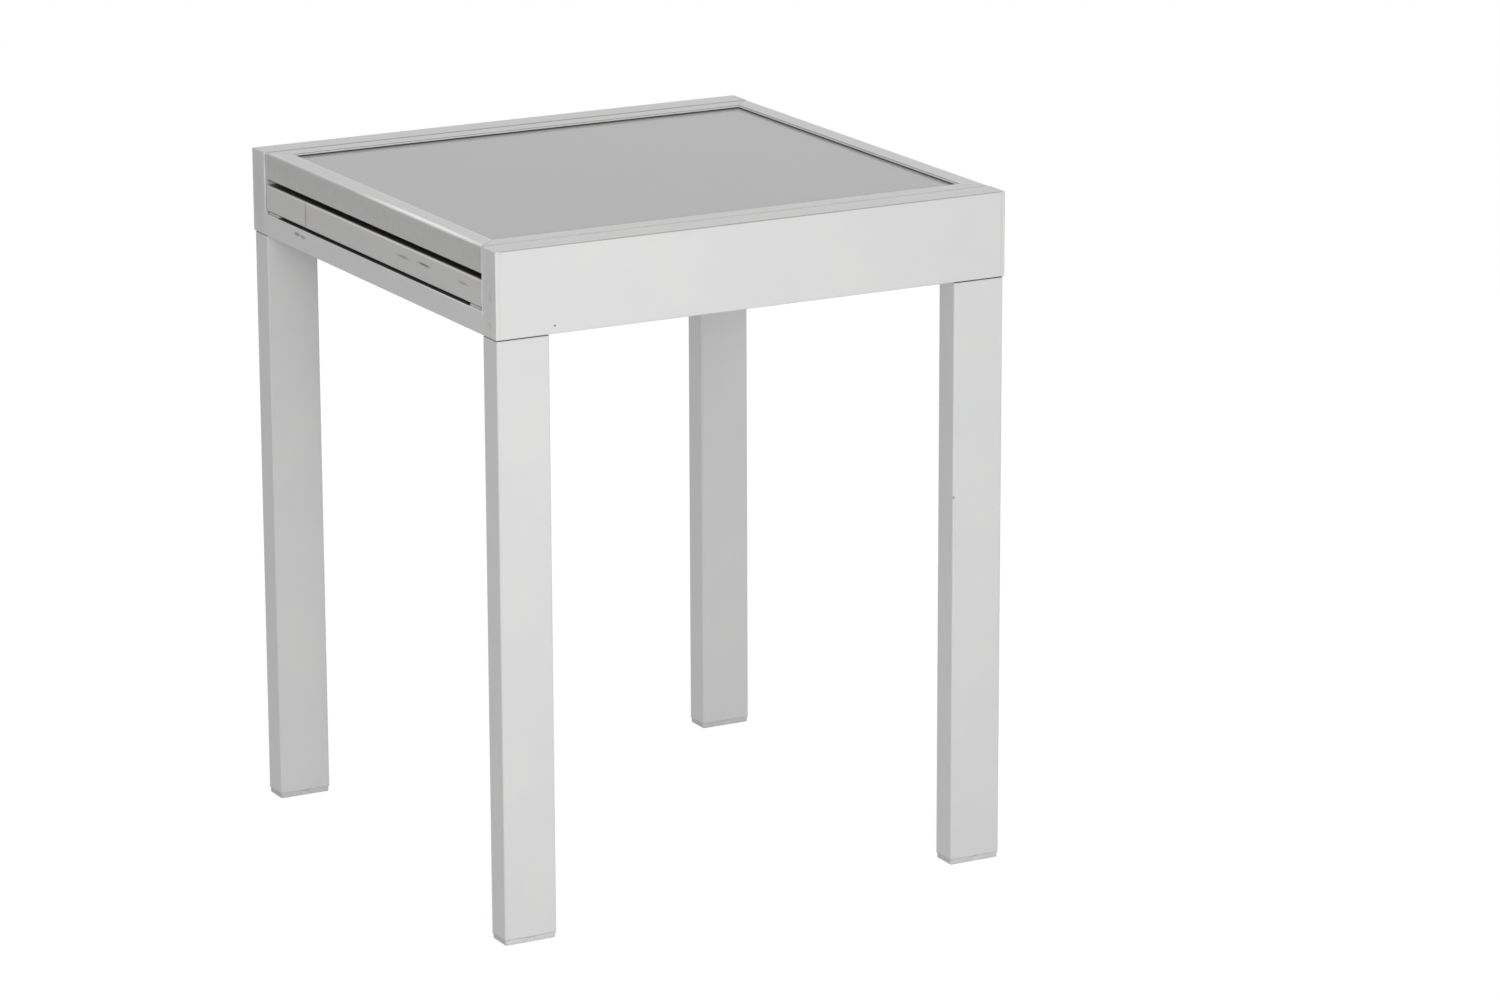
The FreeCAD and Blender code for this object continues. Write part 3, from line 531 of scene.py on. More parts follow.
@dataclass(frozen=True)
class SatinAluminium:
    """Satin silver aluminium: die lines, faint warm clouds, specks, painted light and shade, and marks of
    use.

    Args:
        name: the material's name.
        grain: the way that the die lines run.
        tone: the colour of the clean face.
        edge: what the tone is multiplied by along edges, a painted highlight above 1 and a painted shade line
            below 1.
        end_shade: how much darker the outer end faces are made, as painted shade.
        end_shade_from: the distance from the middle of the table beyond which a face counts as an end face.
        marks: the rubs and scratches on it, and its painted highlights and painted shade.
        lines: the painted highlights and painted shade lines that lie over its edge tint.
        gap_shades: the painted shade on its faces inside gaps.
    """

    CLOUDS_PER_METRE = 14.0
    CLOUD_DARK = 0.985
    CLOUD_WARM = (1.018, 1.008, 1.003)
    LINE_RANGE = (0.35, 0.65)
    LINE_SHARE = 0.18
    LINE_DARK = 0.975
    LINE_HEIGHT = 0.02 * MM
    LINE_STRENGTH = 0.14
    SPECK_SHARE = 0.10
    SPECK_DARK = 0.6
    EDGE_SHARE = 0.85
    EDGE_RADIUS = 0.8 * MM
    EDGE_REACH = 4.0 * MM
    END_SHADE_TINT = (1.0, 0.995, 0.985)
    BLOTCHES_PER_METRE = 90.0
    BLOTCH_LOW = 0.82
    CLOUD_LOW = 0.9
    ROUGHNESS = (0.43, 0.49)
    METALLIC = 0.18

    name: str
    grain: Grain
    tone: Colour = (0.70, 0.703, 0.703)
    # By default the edges take a dark warm painted shade line
    edge: Colour = (0.66, 0.61, 0.59)
    end_shade: float = 0.0
    end_shade_from: float = 0.2978
    marks: tuple[Mark, ...] = ()
    lines: tuple[Mark, ...] = ()
    gap_shades: tuple[GapShade, ...] = ()

    def build(self, effects: Effects) -> Material:
        """Build the material.

        Args:
            effects: the shared node groups.

        Returns:
            The material.
        """
        surface = Surface(self.name)
        wiring = surface.wiring
        drawn = wiring.place(effects.die_lines, Place=surface.place, Stretch=self.grain.value)
        lines = drawn.outputs["Lines"]
        clouds = wiring.place(effects.clouds, Place=surface.place, Per_metre=self.CLOUDS_PER_METRE)
        edges = wiring.place(effects.edge_wear_and_light, Radius=self.EDGE_RADIUS, Reach=self.EDGE_REACH)
        cloud = wiring.ease(clouds.outputs["Cloud"], *CLOUD_RANGE)
        colour = wiring.mix(cloud, shade(self.tone, self.CLOUD_DARK), tinted(self.tone, self.CLOUD_WARM))
        line = wiring.ease(lines, *self.LINE_RANGE, 0.0, self.LINE_SHARE)
        colour = wiring.mix(line, colour, shade(self.tone, self.LINE_DARK))
        specked = shade(self.tone, self.SPECK_DARK)
        colour = wiring.lay(clouds.outputs["Speck"], self.SPECK_SHARE, colour, specked)
        # Painted shade on the outer end faces, in blotches
        colour = self.add_end_shade(surface, effects, clouds, colour)
        colour = lay_marks(surface, effects, self.marks, colour)
        # Along edges the tone takes the edge tint: a painted highlight where it is above 1, a painted shade
        # line where it is below 1
        edge_tone = tinted(self.tone, self.edge)
        colour = wiring.lay(edges.outputs["Edge"], self.EDGE_SHARE, colour, edge_tone)
        colour = lay_marks(surface, effects, self.lines, colour)
        # Painted shade on the faces inside the gaps
        colour = self.add_gap_shades(surface, effects, colour)
        roughness = wiring.ease(lines, *WIDE_RANGE, *self.ROUGHNESS)
        surface.set(Base_Color=colour, Roughness=roughness, Metallic=self.METALLIC)
        surface.roughen(lines, self.LINE_HEIGHT, self.LINE_STRENGTH, edges.outputs["Normal"])
        return surface.material

    def add_end_shade(self, surface: Surface, effects: Effects, clouds: Node, colour: Socket) -> Socket:
        """Darken the end faces with blotchy painted shade.

        Args:
            surface: the material.
            effects: the shared node groups.
            clouds: the placed cloud group.
            colour: the colour so far.

        Returns:
            The colour with the painted shade on the end faces.
        """
        if not self.end_shade:
            return colour
        wiring = surface.wiring
        end_shade = wiring.place(effects.end_face_shade, Place=surface.place, Beyond=self.end_shade_from)
        noise = wiring.noise(surface.place, self.BLOTCHES_PER_METRE, 4.0)
        blotch = wiring.ease(noise, *WIDE_RANGE, self.BLOTCH_LOW, 1.0)
        cloud = wiring.ease(clouds.outputs["Cloud"], *CLOUD_RANGE, self.CLOUD_LOW, 1.0)
        share = wiring.math("MULTIPLY", end_shade.outputs["Mask"], wiring.math("MULTIPLY", blotch, cloud))
        return wiring.mix(share, colour, shade(self.END_SHADE_TINT, 1.0 - self.end_shade), "MULTIPLY")

    def add_gap_shades(self, surface: Surface, effects: Effects, colour: Socket) -> Socket:
        """Lay the painted gap shade over a colour.

        Args:
            surface: the material.
            effects: the shared node groups.
            colour: the colour so far.

        Returns:
            The lined colour.
        """
        wiring = surface.wiring
        for gap_shade in self.gap_shades:
            reach = {"Low": gap_shade.low, "High": gap_shade.high, "Half_length": gap_shade.half_length}
            gap_shade_mask = wiring.place(effects.gap_shade, Place=surface.place, Facing=gap_shade.facing, **reach)
            colour = wiring.mix(gap_shade_mask.outputs["Mask"], colour, gap_shade.tint, "MULTIPLY")
        return colour


@dataclass(frozen=True)
class LacqueredGlass:
    """Tempered glass with a grey lacquer under it, so that it is opaque, with a trace of wiping left on it.

    Args:
        name: the material's name.
        tone: the lacquer's colour through the glass.
    """

    CLOUDS_PER_METRE = 9.0
    WIPED_SHADES = (0.99, 1.01)
    DUST_SHARE = 0.05
    DUST = (0.55, 0.55, 0.55)
    ROUGHNESS = (0.115, 0.125)
    REFRACTION = 1.5

    name: str
    tone: Colour = (0.32, 0.324, 0.322)

    def build(self, effects: Effects) -> Material:
        """Build the material.

        Args:
            effects: the shared node groups.

        Returns:
            The material.
        """
        surface = Surface(self.name)
        wiring = surface.wiring
        clouds = wiring.place(effects.clouds, Place=surface.place, Per_metre=self.CLOUDS_PER_METRE)
        wiped = wiring.ease(clouds.outputs["Cloud"], *CLOUD_RANGE)
        clean, smeared = (shade(self.tone, factor) for factor in self.WIPED_SHADES)
        colour = wiring.mix(wiped, clean, smeared)
        colour = wiring.lay(clouds.outputs["Speck"], self.DUST_SHARE, colour, self.DUST)
        roughness = wiring.ease(wiped, 0.0, 1.0, *self.ROUGHNESS)
        surface.set(Base_Color=colour, Roughness=roughness, Metallic=0.0, IOR=self.REFRACTION)
        return surface.material


@dataclass(frozen=True)
class MouldedPlastic:
    """Moulded plastic or rubber: a fine spark-eroded texture, cloudy tone and worn, lighter edges.

    Args:
        name: the material's name.
        tone: its colour.
        roughness: its mean roughness.
        rub: how much lighter its edges are.
        grit: the height of its texture.
    """

    CLOUDS_PER_METRE = 60.0
    CLOUD_SHADES = (0.94, 1.04)
    SPECK_SHARE = 0.3
    SPECK_DARK = 0.75
    EDGE_SHARE = 0.5
    EDGE_RADIUS = 0.5 * MM
    EDGE_REACH = 0.8 * MM
    ROUGHNESS_SPREAD = 0.06
    GRIT_PER_METRE = 2600.0
    GRIT_STRENGTH = 0.4

    name: str
    tone: Colour
    roughness: float = 0.5
    rub: float = 1.15
    grit: float = 0.02 * MM

    def build(self, effects: Effects) -> Material:
        """Build the material.

        Args:
            effects: the shared node groups.

        Returns:
            The material.
        """
        surface = Surface(self.name)
        wiring = surface.wiring
        clouds = wiring.place(effects.clouds, Place=surface.place, Per_metre=self.CLOUDS_PER_METRE)
        edges = wiring.place(effects.edge_wear_and_light, Radius=self.EDGE_RADIUS, Reach=self.EDGE_REACH)
        cloud = wiring.ease(clouds.outputs["Cloud"], *CLOUD_RANGE)
        dark, light = (shade(self.tone, factor) for factor in self.CLOUD_SHADES)
        colour = wiring.mix(cloud, dark, light)
        specked = shade(self.tone, self.SPECK_DARK)
        colour = wiring.lay(clouds.outputs["Speck"], self.SPECK_SHARE, colour, specked)
        edge_tone = shade(self.tone, self.rub)
        colour = wiring.lay(edges.outputs["Edge"], self.EDGE_SHARE, colour, edge_tone)
        smooth, rough = self.roughness - self.ROUGHNESS_SPREAD, self.roughness + self.ROUGHNESS_SPREAD
        surface.set(Base_Color=colour, Roughness=wiring.ease(cloud, 0.0, 1.0, smooth, rough))
        grit = wiring.noise(surface.place, self.GRIT_PER_METRE, 2.0)
        surface.roughen(grit, self.grit, self.GRIT_STRENGTH, edges.outputs["Normal"])
        return surface.material


@dataclass(frozen=True)
class ZincPlate:
    """Zinc-plated steel: bright, slightly blue, with blotchy passivation and worn, lighter edges.

    Args:
        name: the material's name.
        tone: the plating's colour.
    """

    CLOUDS_PER_METRE = 320.0
    CLOUD_SHADES = (0.88, 1.06)
    EDGE_SHARE = 0.4
    EDGE_SHADE = 1.2
    EDGE_RADIUS = 0.3 * MM
    EDGE_REACH = 0.5 * MM
    ROUGHNESS = (0.28, 0.42)
    METALLIC = 0.9

    name: str
    tone: Colour = (0.60, 0.61, 0.63)

    def build(self, effects: Effects) -> Material:
        """Build the material.

        Args:
            effects: the shared node groups.

        Returns:
            The material.
        """
        surface = Surface(self.name)
        wiring = surface.wiring
        clouds = wiring.place(effects.clouds, Place=surface.place, Per_metre=self.CLOUDS_PER_METRE)
        edges = wiring.place(effects.edge_wear_and_light, Radius=self.EDGE_RADIUS, Reach=self.EDGE_REACH)
        cloud = wiring.ease(clouds.outputs["Cloud"], *CLOUD_RANGE)
        dark, light = (shade(self.tone, factor) for factor in self.CLOUD_SHADES)
        colour = wiring.mix(cloud, dark, light)
        edge_tone = shade(self.tone, self.EDGE_SHADE)
        colour = wiring.lay(edges.outputs["Edge"], self.EDGE_SHARE, colour, edge_tone)
        roughness = wiring.ease(cloud, 0.0, 1.0, *self.ROUGHNESS)
        surface.set(Base_Color=colour, Roughness=roughness, Metallic=self.METALLIC)
        surface.set(Normal=edges.outputs["Normal"])
        return surface.material


Finish = SatinAluminium | LacqueredGlass | MouldedPlastic | ZincPlate


def material_of(finish: Finish, effects: Effects) -> Material:
    """A finish's material, built the first time that it is asked for."""
    return bpy.data.materials.get(finish.name) or finish.build(effects)


# Meshes

# Points on each rounded corner, and the angle above which an edge stays sharp
CORNER_POINTS = 9
SHARP_ANGLE = math.radians(40)


@dataclass(frozen=True)
class RoundedRectangle:
    """The outline of a rectangle with rounded corners, walked anticlockwise from above.

    A point is the corner's centre plus the radius along the outward normal. Along a straight side the normal
    stays and the point moves on; round a corner the normal turns. Both are read from the length walked.

    Args:
        middle: the rectangle's middle, along X and Y.
        half: its half sizes.
        radius: the corners' radius.
    """

    middle: tuple[float, float]
    half: tuple[float, float]
    radius: float

    def walk(self, count: int) -> tuple[np.ndarray, np.ndarray]:
        """Sample the outline at even steps, and at each step of the corners' arcs.

        Args:
            count: how many even steps there are.

        Returns:
            The points and their outward normals, one row each.
        """
        corner = np.repeat(np.arange(4), CORNER_POINTS)
        turn = (corner + np.tile(np.linspace(0.0, 1.0, CORNER_POINTS), 4)) * math.pi / 2
        sign_x = np.array([1, -1, -1, 1])[corner]
        sign_y = np.array([1, 1, -1, -1])[corner]
        x = self.middle[0] + sign_x * (self.half[0] - self.radius) + self.radius * np.cos(turn)
        y = self.middle[1] + sign_y * (self.half[1] - self.radius) + self.radius * np.sin(turn)
        x, y, turn = np.append(x, x[0]), np.append(y, y[0]), np.append(turn, 2 * math.pi)
        walked = np.concatenate([[0.0], np.cumsum(np.hypot(np.diff(x), np.diff(y)))])
        even = np.linspace(0.0, walked[-1], count, endpoint=False)
        steps = np.unique(np.round(np.concatenate([walked[:-1], even]), 6))
        turned = np.interp(steps, walked, turn)
        points = np.stack([np.interp(steps, walked, x), np.interp(steps, walked, y)], axis=1)
        return points, np.stack([np.cos(turned), np.sin(turned)], axis=1)


def add_object(name: str, data: bpy.types.ID) -> bpy.types.Object:
    """Make an object of some data and link it into the scene."""
    made = bpy.data.objects.new(name, data)
    bpy.context.scene.collection.objects.link(made)
    return made


def closed_mesh(name: str, grid: np.ndarray) -> bpy.types.Object:
    """Make a closed piece from rings of points, stacked from the bottom up, each walked anticlockwise.

    Quads join neighbouring rings, the last point of a ring to its first, and one face closes each end.

    Args:
        name: the piece's name.
        grid: the points, as rings by points by coordinates.

    Returns:
        The piece, linked into the scene.
    """
    rings, count = grid.shape[:2]
    index = np.arange(rings * count).reshape(rings, count)
    ahead = np.roll(index, -1, axis=1)
    quads = np.stack([index[:-1], ahead[:-1], ahead[1:], index[1:]], axis=2).reshape(-1, 4)
    mesh = bpy.data.meshes.new(name)
    ends = [index[0, ::-1].tolist(), index[-1].tolist()]
    mesh.from_pydata(grid.reshape(-1, 3).tolist(), [], [*quads.tolist(), *ends])
    mesh.shade_smooth()
    mesh.set_sharp_from_angle(angle=SHARP_ANGLE)
    return add_object(name, mesh)


def paint(node: str, finish: Finish, effects: Effects) -> None:
    """Give a CAD node its finish.

    Args:
        node: the node's name.
        finish: its finish.
        effects: the shared node groups.
    """
    material = material_of(finish, effects)
    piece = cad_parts[node]
    if not piece.material_slots:
        piece.data.materials.append(material)
    for slot in piece.material_slots:
        slot.material = material
    log.info("%s: %s", node, material.name)


# The table

UP = (0.0, 0.0, 1.0)
DOWN = (0.0, 0.0, -1.0)
BACK = (0.0, 1.0, 0.0)
FORTH = (0.0, -1.0, 0.0)

# The left ends of the end frame and of the leaves, and the reach of the painted gap shade between the lower
# leaf's rest pads
FRAME_END = -300.0 * MM
LEAF_END = -298.5 * MM
BETWEEN_PADS = 237.0 * MM
# Painted shade in the gaps: on the rail's top and the lower leaf's underside between the pads, on the upper
# leaf's underside, on the aprons' inner walls beside the leaves, and a dark strip on the lower leaf's top
# where the upper leaf covers it
RAIL_GAP_SHADE = GapShade(UP, 672.0 * MM, 673.0 * MM, BETWEEN_PADS)
UPPER_GAP_SHADE = GapShade(DOWN, 710.0 * MM, 711.0 * MM)
LOWER_GAP_SHADE = GapShade(DOWN, 674.0 * MM, 675.5 * MM, BETWEEN_PADS)
FRONT_GAP_SHADE = GapShade(BACK, 728.0 * MM, 741.0 * MM)
REAR_GAP_SHADE = GapShade(FORTH, 728.0 * MM, 741.0 * MM)
GAP_SHADE_STRIP = edge_line((-0.2915, 0.0, 0.7043), (8, 900, 0.6), (0.10, 0.09, 0.085))

ZINC = ZincPlate("zinc-plated steel")
CAP_GREY = MouldedPlastic("light grey cap plastic", (0.67, 0.672, 0.672), 0.45)
PAD_GREY = MouldedPlastic("light grey pad plastic", (0.62, 0.62, 0.615), 0.5)
PLUG_BLACK = MouldedPlastic("black nylon", (0.03, 0.03, 0.031), 0.5, 1.6)
SHOE_WHITE = MouldedPlastic("white nylon", (0.78, 0.78, 0.75), 0.38, 1.06)
SEAL_RUBBER = MouldedPlastic("black seal rubber", (0.03, 0.03, 0.03), 0.6, 1.4, 0.03 * MM)
PANE = LacqueredGlass("grey lacquered glass")
KEY_METAL = SatinAluminium("cast key aluminium", Grain.CAST, (0.60, 0.605, 0.61))
# A slightly darker painted shade line along the aprons' edges
APRON_EDGE_SHADE = (0.96, 0.94, 0.93)


@dataclass(frozen=True)
class Chassis:
    """The fixed frame: two drawn aprons, two cast end frames and their screws.

    Args:
        front_apron: the front apron's finish, with a thin warm painted shade line along its upper edge.
        rear_apron: the rear apron's finish.
        end_frame: the end frames' finish.
    """

    front_apron: SatinAluminium = SatinAluminium(
        "drawn front apron aluminium",
        Grain.ALONG_X,
        edge=APRON_EDGE_SHADE,
        # Painted shade line along the upper front edge
        marks=(edge_line((0.0, -0.3, 0.7402), (700, 1.9, 1.5), (0.42, 0.35, 0.33)),),
        gap_shades=(FRONT_GAP_SHADE,),
    )
    rear_apron: SatinAluminium = SatinAluminium(
        "drawn rear apron aluminium",
        Grain.ALONG_X,
        edge=APRON_EDGE_SHADE,
        # Painted shade line along the inner upper edge, at the gap to the leaf
        marks=(edge_line((0.0, 0.2682, 0.7402), (700, 1.2, 1.0), (0.30, 0.29, 0.29)),),
        gap_shades=(REAR_GAP_SHADE,),
    )
    end_frame: SatinAluminium = SatinAluminium(
        "end frame aluminium",
        Grain.ALONG_Y,
        edge=(1.0, 0.99, 0.98),
        marks=(
            # Painted highlights along the rail's upper edge and the posts' inner edges
            edge_line((FRAME_END, -0.19, 0.6718), (8, 95, 1.3), (1.38, 1.37, 1.36)),
            edge_line((FRAME_END, -0.2686, 0.700), (8, 2.4, 40), (1.38, 1.37, 1.36)),
            edge_line((FRAME_END, 0.2688, 0.712), (8, 1.4, 36), (1.30, 1.30, 1.30)),
            Mark((FRAME_END, 0.185, 0.6652), (4, 9, 2.4), (0.42, 0.42, 0.42)),
            Mark((FRAME_END, 0.170, 0.6645), (4, 9, 2.0), (0.52, 0.52, 0.52)),
            # Broad darkening of the two posts' outer faces, more on the far one
            Mark((FRAME_END, 0.284, 0.695), (4, 19, 60), (0.89, 0.89, 0.89)),
            Mark((FRAME_END, -0.284, 0.695), (4, 19, 60), (0.94, 0.94, 0.94)),
            Mark((FRAME_END, -0.287, 0.690), (4, 5.0, 4.0), (0.88, 0.87, 0.87)),
            Mark((FRAME_END, -0.285, 0.662), (4, 6.0, 5.0), (0.90, 0.89, 0.88)),
        ),
        gap_shades=(RAIL_GAP_SHADE,),
    )

    def dress(self, effects: Effects) -> None:
        """Give the chassis its finishes.

        Args:
            effects: the shared node groups.
        """
        paint("front_apron", self.front_apron, effects)
        paint("rear_apron", self.rear_apron, effects)
        for end in ("left", "right"):
            paint(f"{end}_end_frame", self.end_frame, effects)
        for fasteners in ("end_frame_screws", "leg_bolts", "leg_nuts"):
            paint(fasteners, ZINC, effects)


@dataclass(frozen=True)
class Leg:
    """One slab leg with its plug at the top and its moulded cap at the foot.

    Args:
        corner: the corner that it stands at.
        tube: the tube's finish.
        sole_round: the radius of the cap's lower edge.
        top_round: the radius of the cap's upper edge, which leaves the dark joint under the tube.
        corner_round: the radius of the cap's upright corners.
        notch_half: half the width of the pry notches in the cap's long sides.
        notch_depth: their depth under the tube.
        notch_sill: the height at which their sloping floors begin.
        notch_wall: the width of their side walls, in half widths.
        collar: the height up to which the cap shows below the tube.
    """

    OUTLINE_STEPS = 260
    ROUND_POINTS = 6
    LONG_SIDE_COSINE = 0.99

    corner: Corner
    tube: SatinAluminium = SatinAluminium(
        "drawn leg aluminium",
        Grain.ALONG_Z,
        edge=(0.93, 0.91, 0.90),
        marks=(Mark((0.2395, -0.299, 0.4125), (2.0, 2.0, 2.4), (0.5, 0.5, 0.5)),),
    )
    sole_round: float = 1.2 * MM
    top_round: float = 1.1 * MM
    corner_round: float = 2.6 * MM
    notch_half: float = 4.75 * MM
    notch_depth: float = 2.0 * MM
    notch_sill: float = 1.0 * MM
    notch_wall: float = 0.15
    collar: float = 6.0 * MM

    def dress(self, effects: Effects) -> None:
        """Give the leg its finishes and mould its cap.

        Args:
            effects: the shared node groups.
        """
        paint(f"{self.corner.value}_leg", self.tube, effects)
        paint(f"{self.corner.value}_leg_plug", PLUG_BLACK, effects)
        self.mould_cap(material_of(CAP_GREY, effects))

    def cap_profile(self) -> tuple[np.ndarray, np.ndarray]:
        """The cap's side from sole to collar: a quarter round, a straight wall and a quarter round.

        Returns:
            The distances by which the wall lies in from the cap's outline, and the heights.
        """
        turn = np.linspace(0.0, math.pi / 2, self.ROUND_POINTS)
        by_sine, by_cosine = 1 - np.sin(turn), 1 - np.cos(turn)
        inset = np.concatenate([self.sole_round * by_sine, self.top_round * by_cosine])
        height = np.concatenate([self.sole_round * by_cosine, self.collar - self.top_round * by_sine])
        return inset, height

    def mould_cap(self, material: Material) -> None:
        """Carry the profile round the cap's outline, and cut a pry notch into both long sides.

        A point lies in from the outline, along its normal, by the profile's inset plus, within a notch, the
        notch's depth times the share of the way that the point is from the sill up to the collar.

        Args:
            material: the cap's finish.
        """
        low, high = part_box(f"{self.corner.value}_foot_cap")
        middle = ((low.x + high.x) / 2, (low.y + high.y) / 2)
        outline = RoundedRectangle(middle, ((high.x - low.x) / 2, (high.y - low.y) / 2), self.corner_round)
        points, normals = outline.walk(self.OUTLINE_STEPS)
        inset, height = self.cap_profile()
        from_middle = np.abs(points[:, 0] - middle[0]) / self.notch_half
        long_side = np.abs(normals[:, 1]) > self.LONG_SIDE_COSINE
        across = np.clip((1 - from_middle) / self.notch_wall, 0.0, 1.0) * long_side
        upward = np.clip((height - self.notch_sill) / (self.collar - self.notch_sill), 0.0, 1.0)
        inward = inset[:, None] + self.notch_depth * upward[:, None] * across[None, :]
        flat = points[None, :, :] - inward[:, :, None] * normals[None, :, :]
        grid = np.concatenate([flat, np.broadcast_to(height[:, None, None], (*inward.shape, 1))], axis=2)
        cap = closed_mesh(f"{self.corner.value}_moulded_cap", grid)
        cap.data.materials.append(material)
        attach(cap, "base")
        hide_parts(f"{self.corner.value}_foot_cap")
        log.info("%s: %d faces", cap.name, len(cap.data.polygons))


@dataclass(frozen=True)
class Leaf:
    """One sliding leaf: four bars round a pane, its seal, corner keys, slide shoes and screws.

    Args:
        level: which of the two leaves it is.
        end_bar: the finish of its left and right bars, which hands touch, with painted highlights on its
            edges and painted shade on its end faces.
        long_bar: the finish of its front and rear bars.
    """

    level: Level
    end_bar: SatinAluminium
    long_bar: SatinAluminium = SatinAluminium(
        "drawn leaf aluminium",
        Grain.ALONG_X,
        # Painted shade strip on the lower leaf's top at its left end, under the upper leaf
        marks=(GAP_SHADE_STRIP,),
        lines=(
            # Painted highlight and painted shade line along the rear bar's inner lip by the pane
            edge_line((0.0, 0.2437, 0.7390), (900, 0.7, 1.0), (1.35, 1.33, 1.32)),
            edge_line((0.0, 0.2443, 0.7402), (900, 1.5, 0.6), (0.34, 0.33, 0.33)),
        ),
        gap_shades=(UPPER_GAP_SHADE,),
    )

    def dress(self, effects: Effects) -> None:
        """Give the leaf its finishes.

        Args:
            effects: the shared node groups.
        """
        name = self.level.value
        for row in ("front", "rear"):
            paint(f"{name}_{row}_bar", self.long_bar, effects)
            for place in ("outer", "inner"):
                paint(f"{name}_{row}_{place}_shoe", SHOE_WHITE, effects)
        for end in ("left", "right"):
            paint(f"{name}_{end}_bar", self.end_bar, effects)
        paint(f"{name}_corner_keys", KEY_METAL, effects)
        paint(f"{name}_glass", PANE, effects)
        paint(f"{name}_glass_seal", SEAL_RUBBER, effects)
        paint(f"{name}_shoe_screws", ZINC, effects)
        if self.level is Level.LOWER:
            paint(f"{name}_rest_pads", PAD_GREY, effects)


UPPER_END = SatinAluminium(
    "upper leaf end aluminium with painted light",
    Grain.ALONG_Y,
    # Painted highlights along the edges, and painted shade on the end faces
    edge=(1.2, 1.2, 1.2),
    end_shade=0.27,
    marks=(
        # Painted highlights along the upper and lower edges of the end face
        edge_line((LEAF_END, -0.13, 0.7393), (8, 200, 1.5), (1.85, 1.85, 1.85)),
        edge_line((LEAF_END, 0.0, 0.7113), (8, 320, 0.9), (1.22, 1.22, 1.22)),
    ),
    lines=(
        # Painted highlight and painted shade line along the right bar's inner lip by the pane
        edge_line((0.2760, 0.0, 0.7390), (0.7, 700, 1.0), (1.25, 1.18, 1.16)),
        edge_line((0.2766, 0.0, 0.7402), (1.5, 700, 0.6), (0.28, 0.25, 0.245)),
    ),
    gap_shades=(UPPER_GAP_SHADE,),
)
LOWER_END = SatinAluminium(
    "lower leaf end aluminium with painted light",
    Grain.ALONG_Y,
    # Painted highlights along the edges, and painted shade on the end faces
    edge=(1.2, 1.19, 1.18),
    end_shade=0.13,
    marks=(
        # Painted highlights along the top, the near upright and the bottom edges of the end face
        edge_line((LEAF_END, -0.05, 0.7036), (8, 310, 1.4), (1.50, 1.48, 1.46)),
        edge_line((LEAF_END, -0.2650, 0.689), (8, 2.4, 18), (1.45, 1.43, 1.41)),
        edge_line((LEAF_END, -0.17, 0.6754), (8, 120, 0.9), (1.25, 1.23, 1.21)),
        # Painted shade strip on the top at the left end, under the upper leaf
        GAP_SHADE_STRIP,
        Mark((LEAF_END, 0.165, 0.689), (4, 2.4, 20), (0.80, 0.58, 0.56)),
        Mark((LEAF_END, -0.1297, 0.6935), (4, 17, 1.8), (0.32, 0.31, 0.30)),
        Mark((LEAF_END, -0.0791, 0.692), (4, 19, 1.8), (0.60, 0.59, 0.58)),
        Mark((LEAF_END, -0.2215, 0.6926), (4, 16, 1.8), (0.68, 0.67, 0.66)),
    ),
    gap_shades=(LOWER_GAP_SHADE,),
)


# The studio


@dataclass(frozen=True)
class Camera:
    """The photograph's camera, fitted to the corners of the top and of the feet.

    Args:
        target: the point that angles are taken about.
        azimuth: how far it stands round to the left of the front, in degrees.
        elevation: how far it looks down, in degrees.
        roll: its tilt, in degrees.
        aside: its offset to the right of the target, in its own plane.
        above: its offset above the target, in its own plane.
        distance: how far it stands from the target.
        lens: its focal length on a 36 mm sensor.
    """

    SENSOR_WIDTH = 36.0

    target: Point = (0.0, 0.0, 0.370)
    azimuth: float = -28.67
    elevation: float = 15.157
    roll: float = -0.167
    aside: float = 0.1369
    above: float = 0.0012
    distance: float = 6.3474
    lens: float = 139.573

    def build(self) -> None:
        """Set the camera up and make it the scene's."""
        around, down, tilt = (math.radians(angle) for angle in (self.azimuth, self.elevation, self.roll))
        back = Vector((math.sin(around) * math.cos(down), -math.cos(around) * math.cos(down), math.sin(down)))
        level = Vector((math.cos(around), math.sin(around), 0.0))
        rise = back.cross(level)
        right = level * math.cos(tilt) + rise * math.sin(tilt)
        up = rise * math.cos(tilt) - level * math.sin(tilt)
        data = bpy.data.cameras.new("photograph camera")
        data.lens = self.lens
        data.sensor_width = self.SENSOR_WIDTH
        data.sensor_fit = "HORIZONTAL"
        camera = add_object("photograph camera", data)
        camera.matrix_world = Matrix((right, up, back)).transposed().to_4x4()
        camera.location = Vector(self.target) + right * self.aside + up * self.above + back * self.distance
        bpy.context.scene.camera = camera


@dataclass(frozen=True)
class Lamp:
    """A square soft box that faces a point and stays out of reflections.

    Args:
        name: its name.
        stand: where it stands.
        aim: the point that it faces.
        side: the length of its side.
        power: its power in watts.
    """

    name: str
    stand: Point
    aim: Point
    side: float
    power: float

    def build(self) -> None:
        """Hang the lamp."""
        data = bpy.data.lights.new(self.name, "AREA")
        data.shape = "SQUARE"
        data.size = self.side
        data.energy = self.power
        lamp = add_object(self.name, data)
        facing = Vector(self.aim) - Vector(self.stand)
        lamp.matrix_world = facing.to_track_quat("-Z", "Y").to_matrix().to_4x4()
        lamp.location = self.stand
        lamp.visible_glossy = False


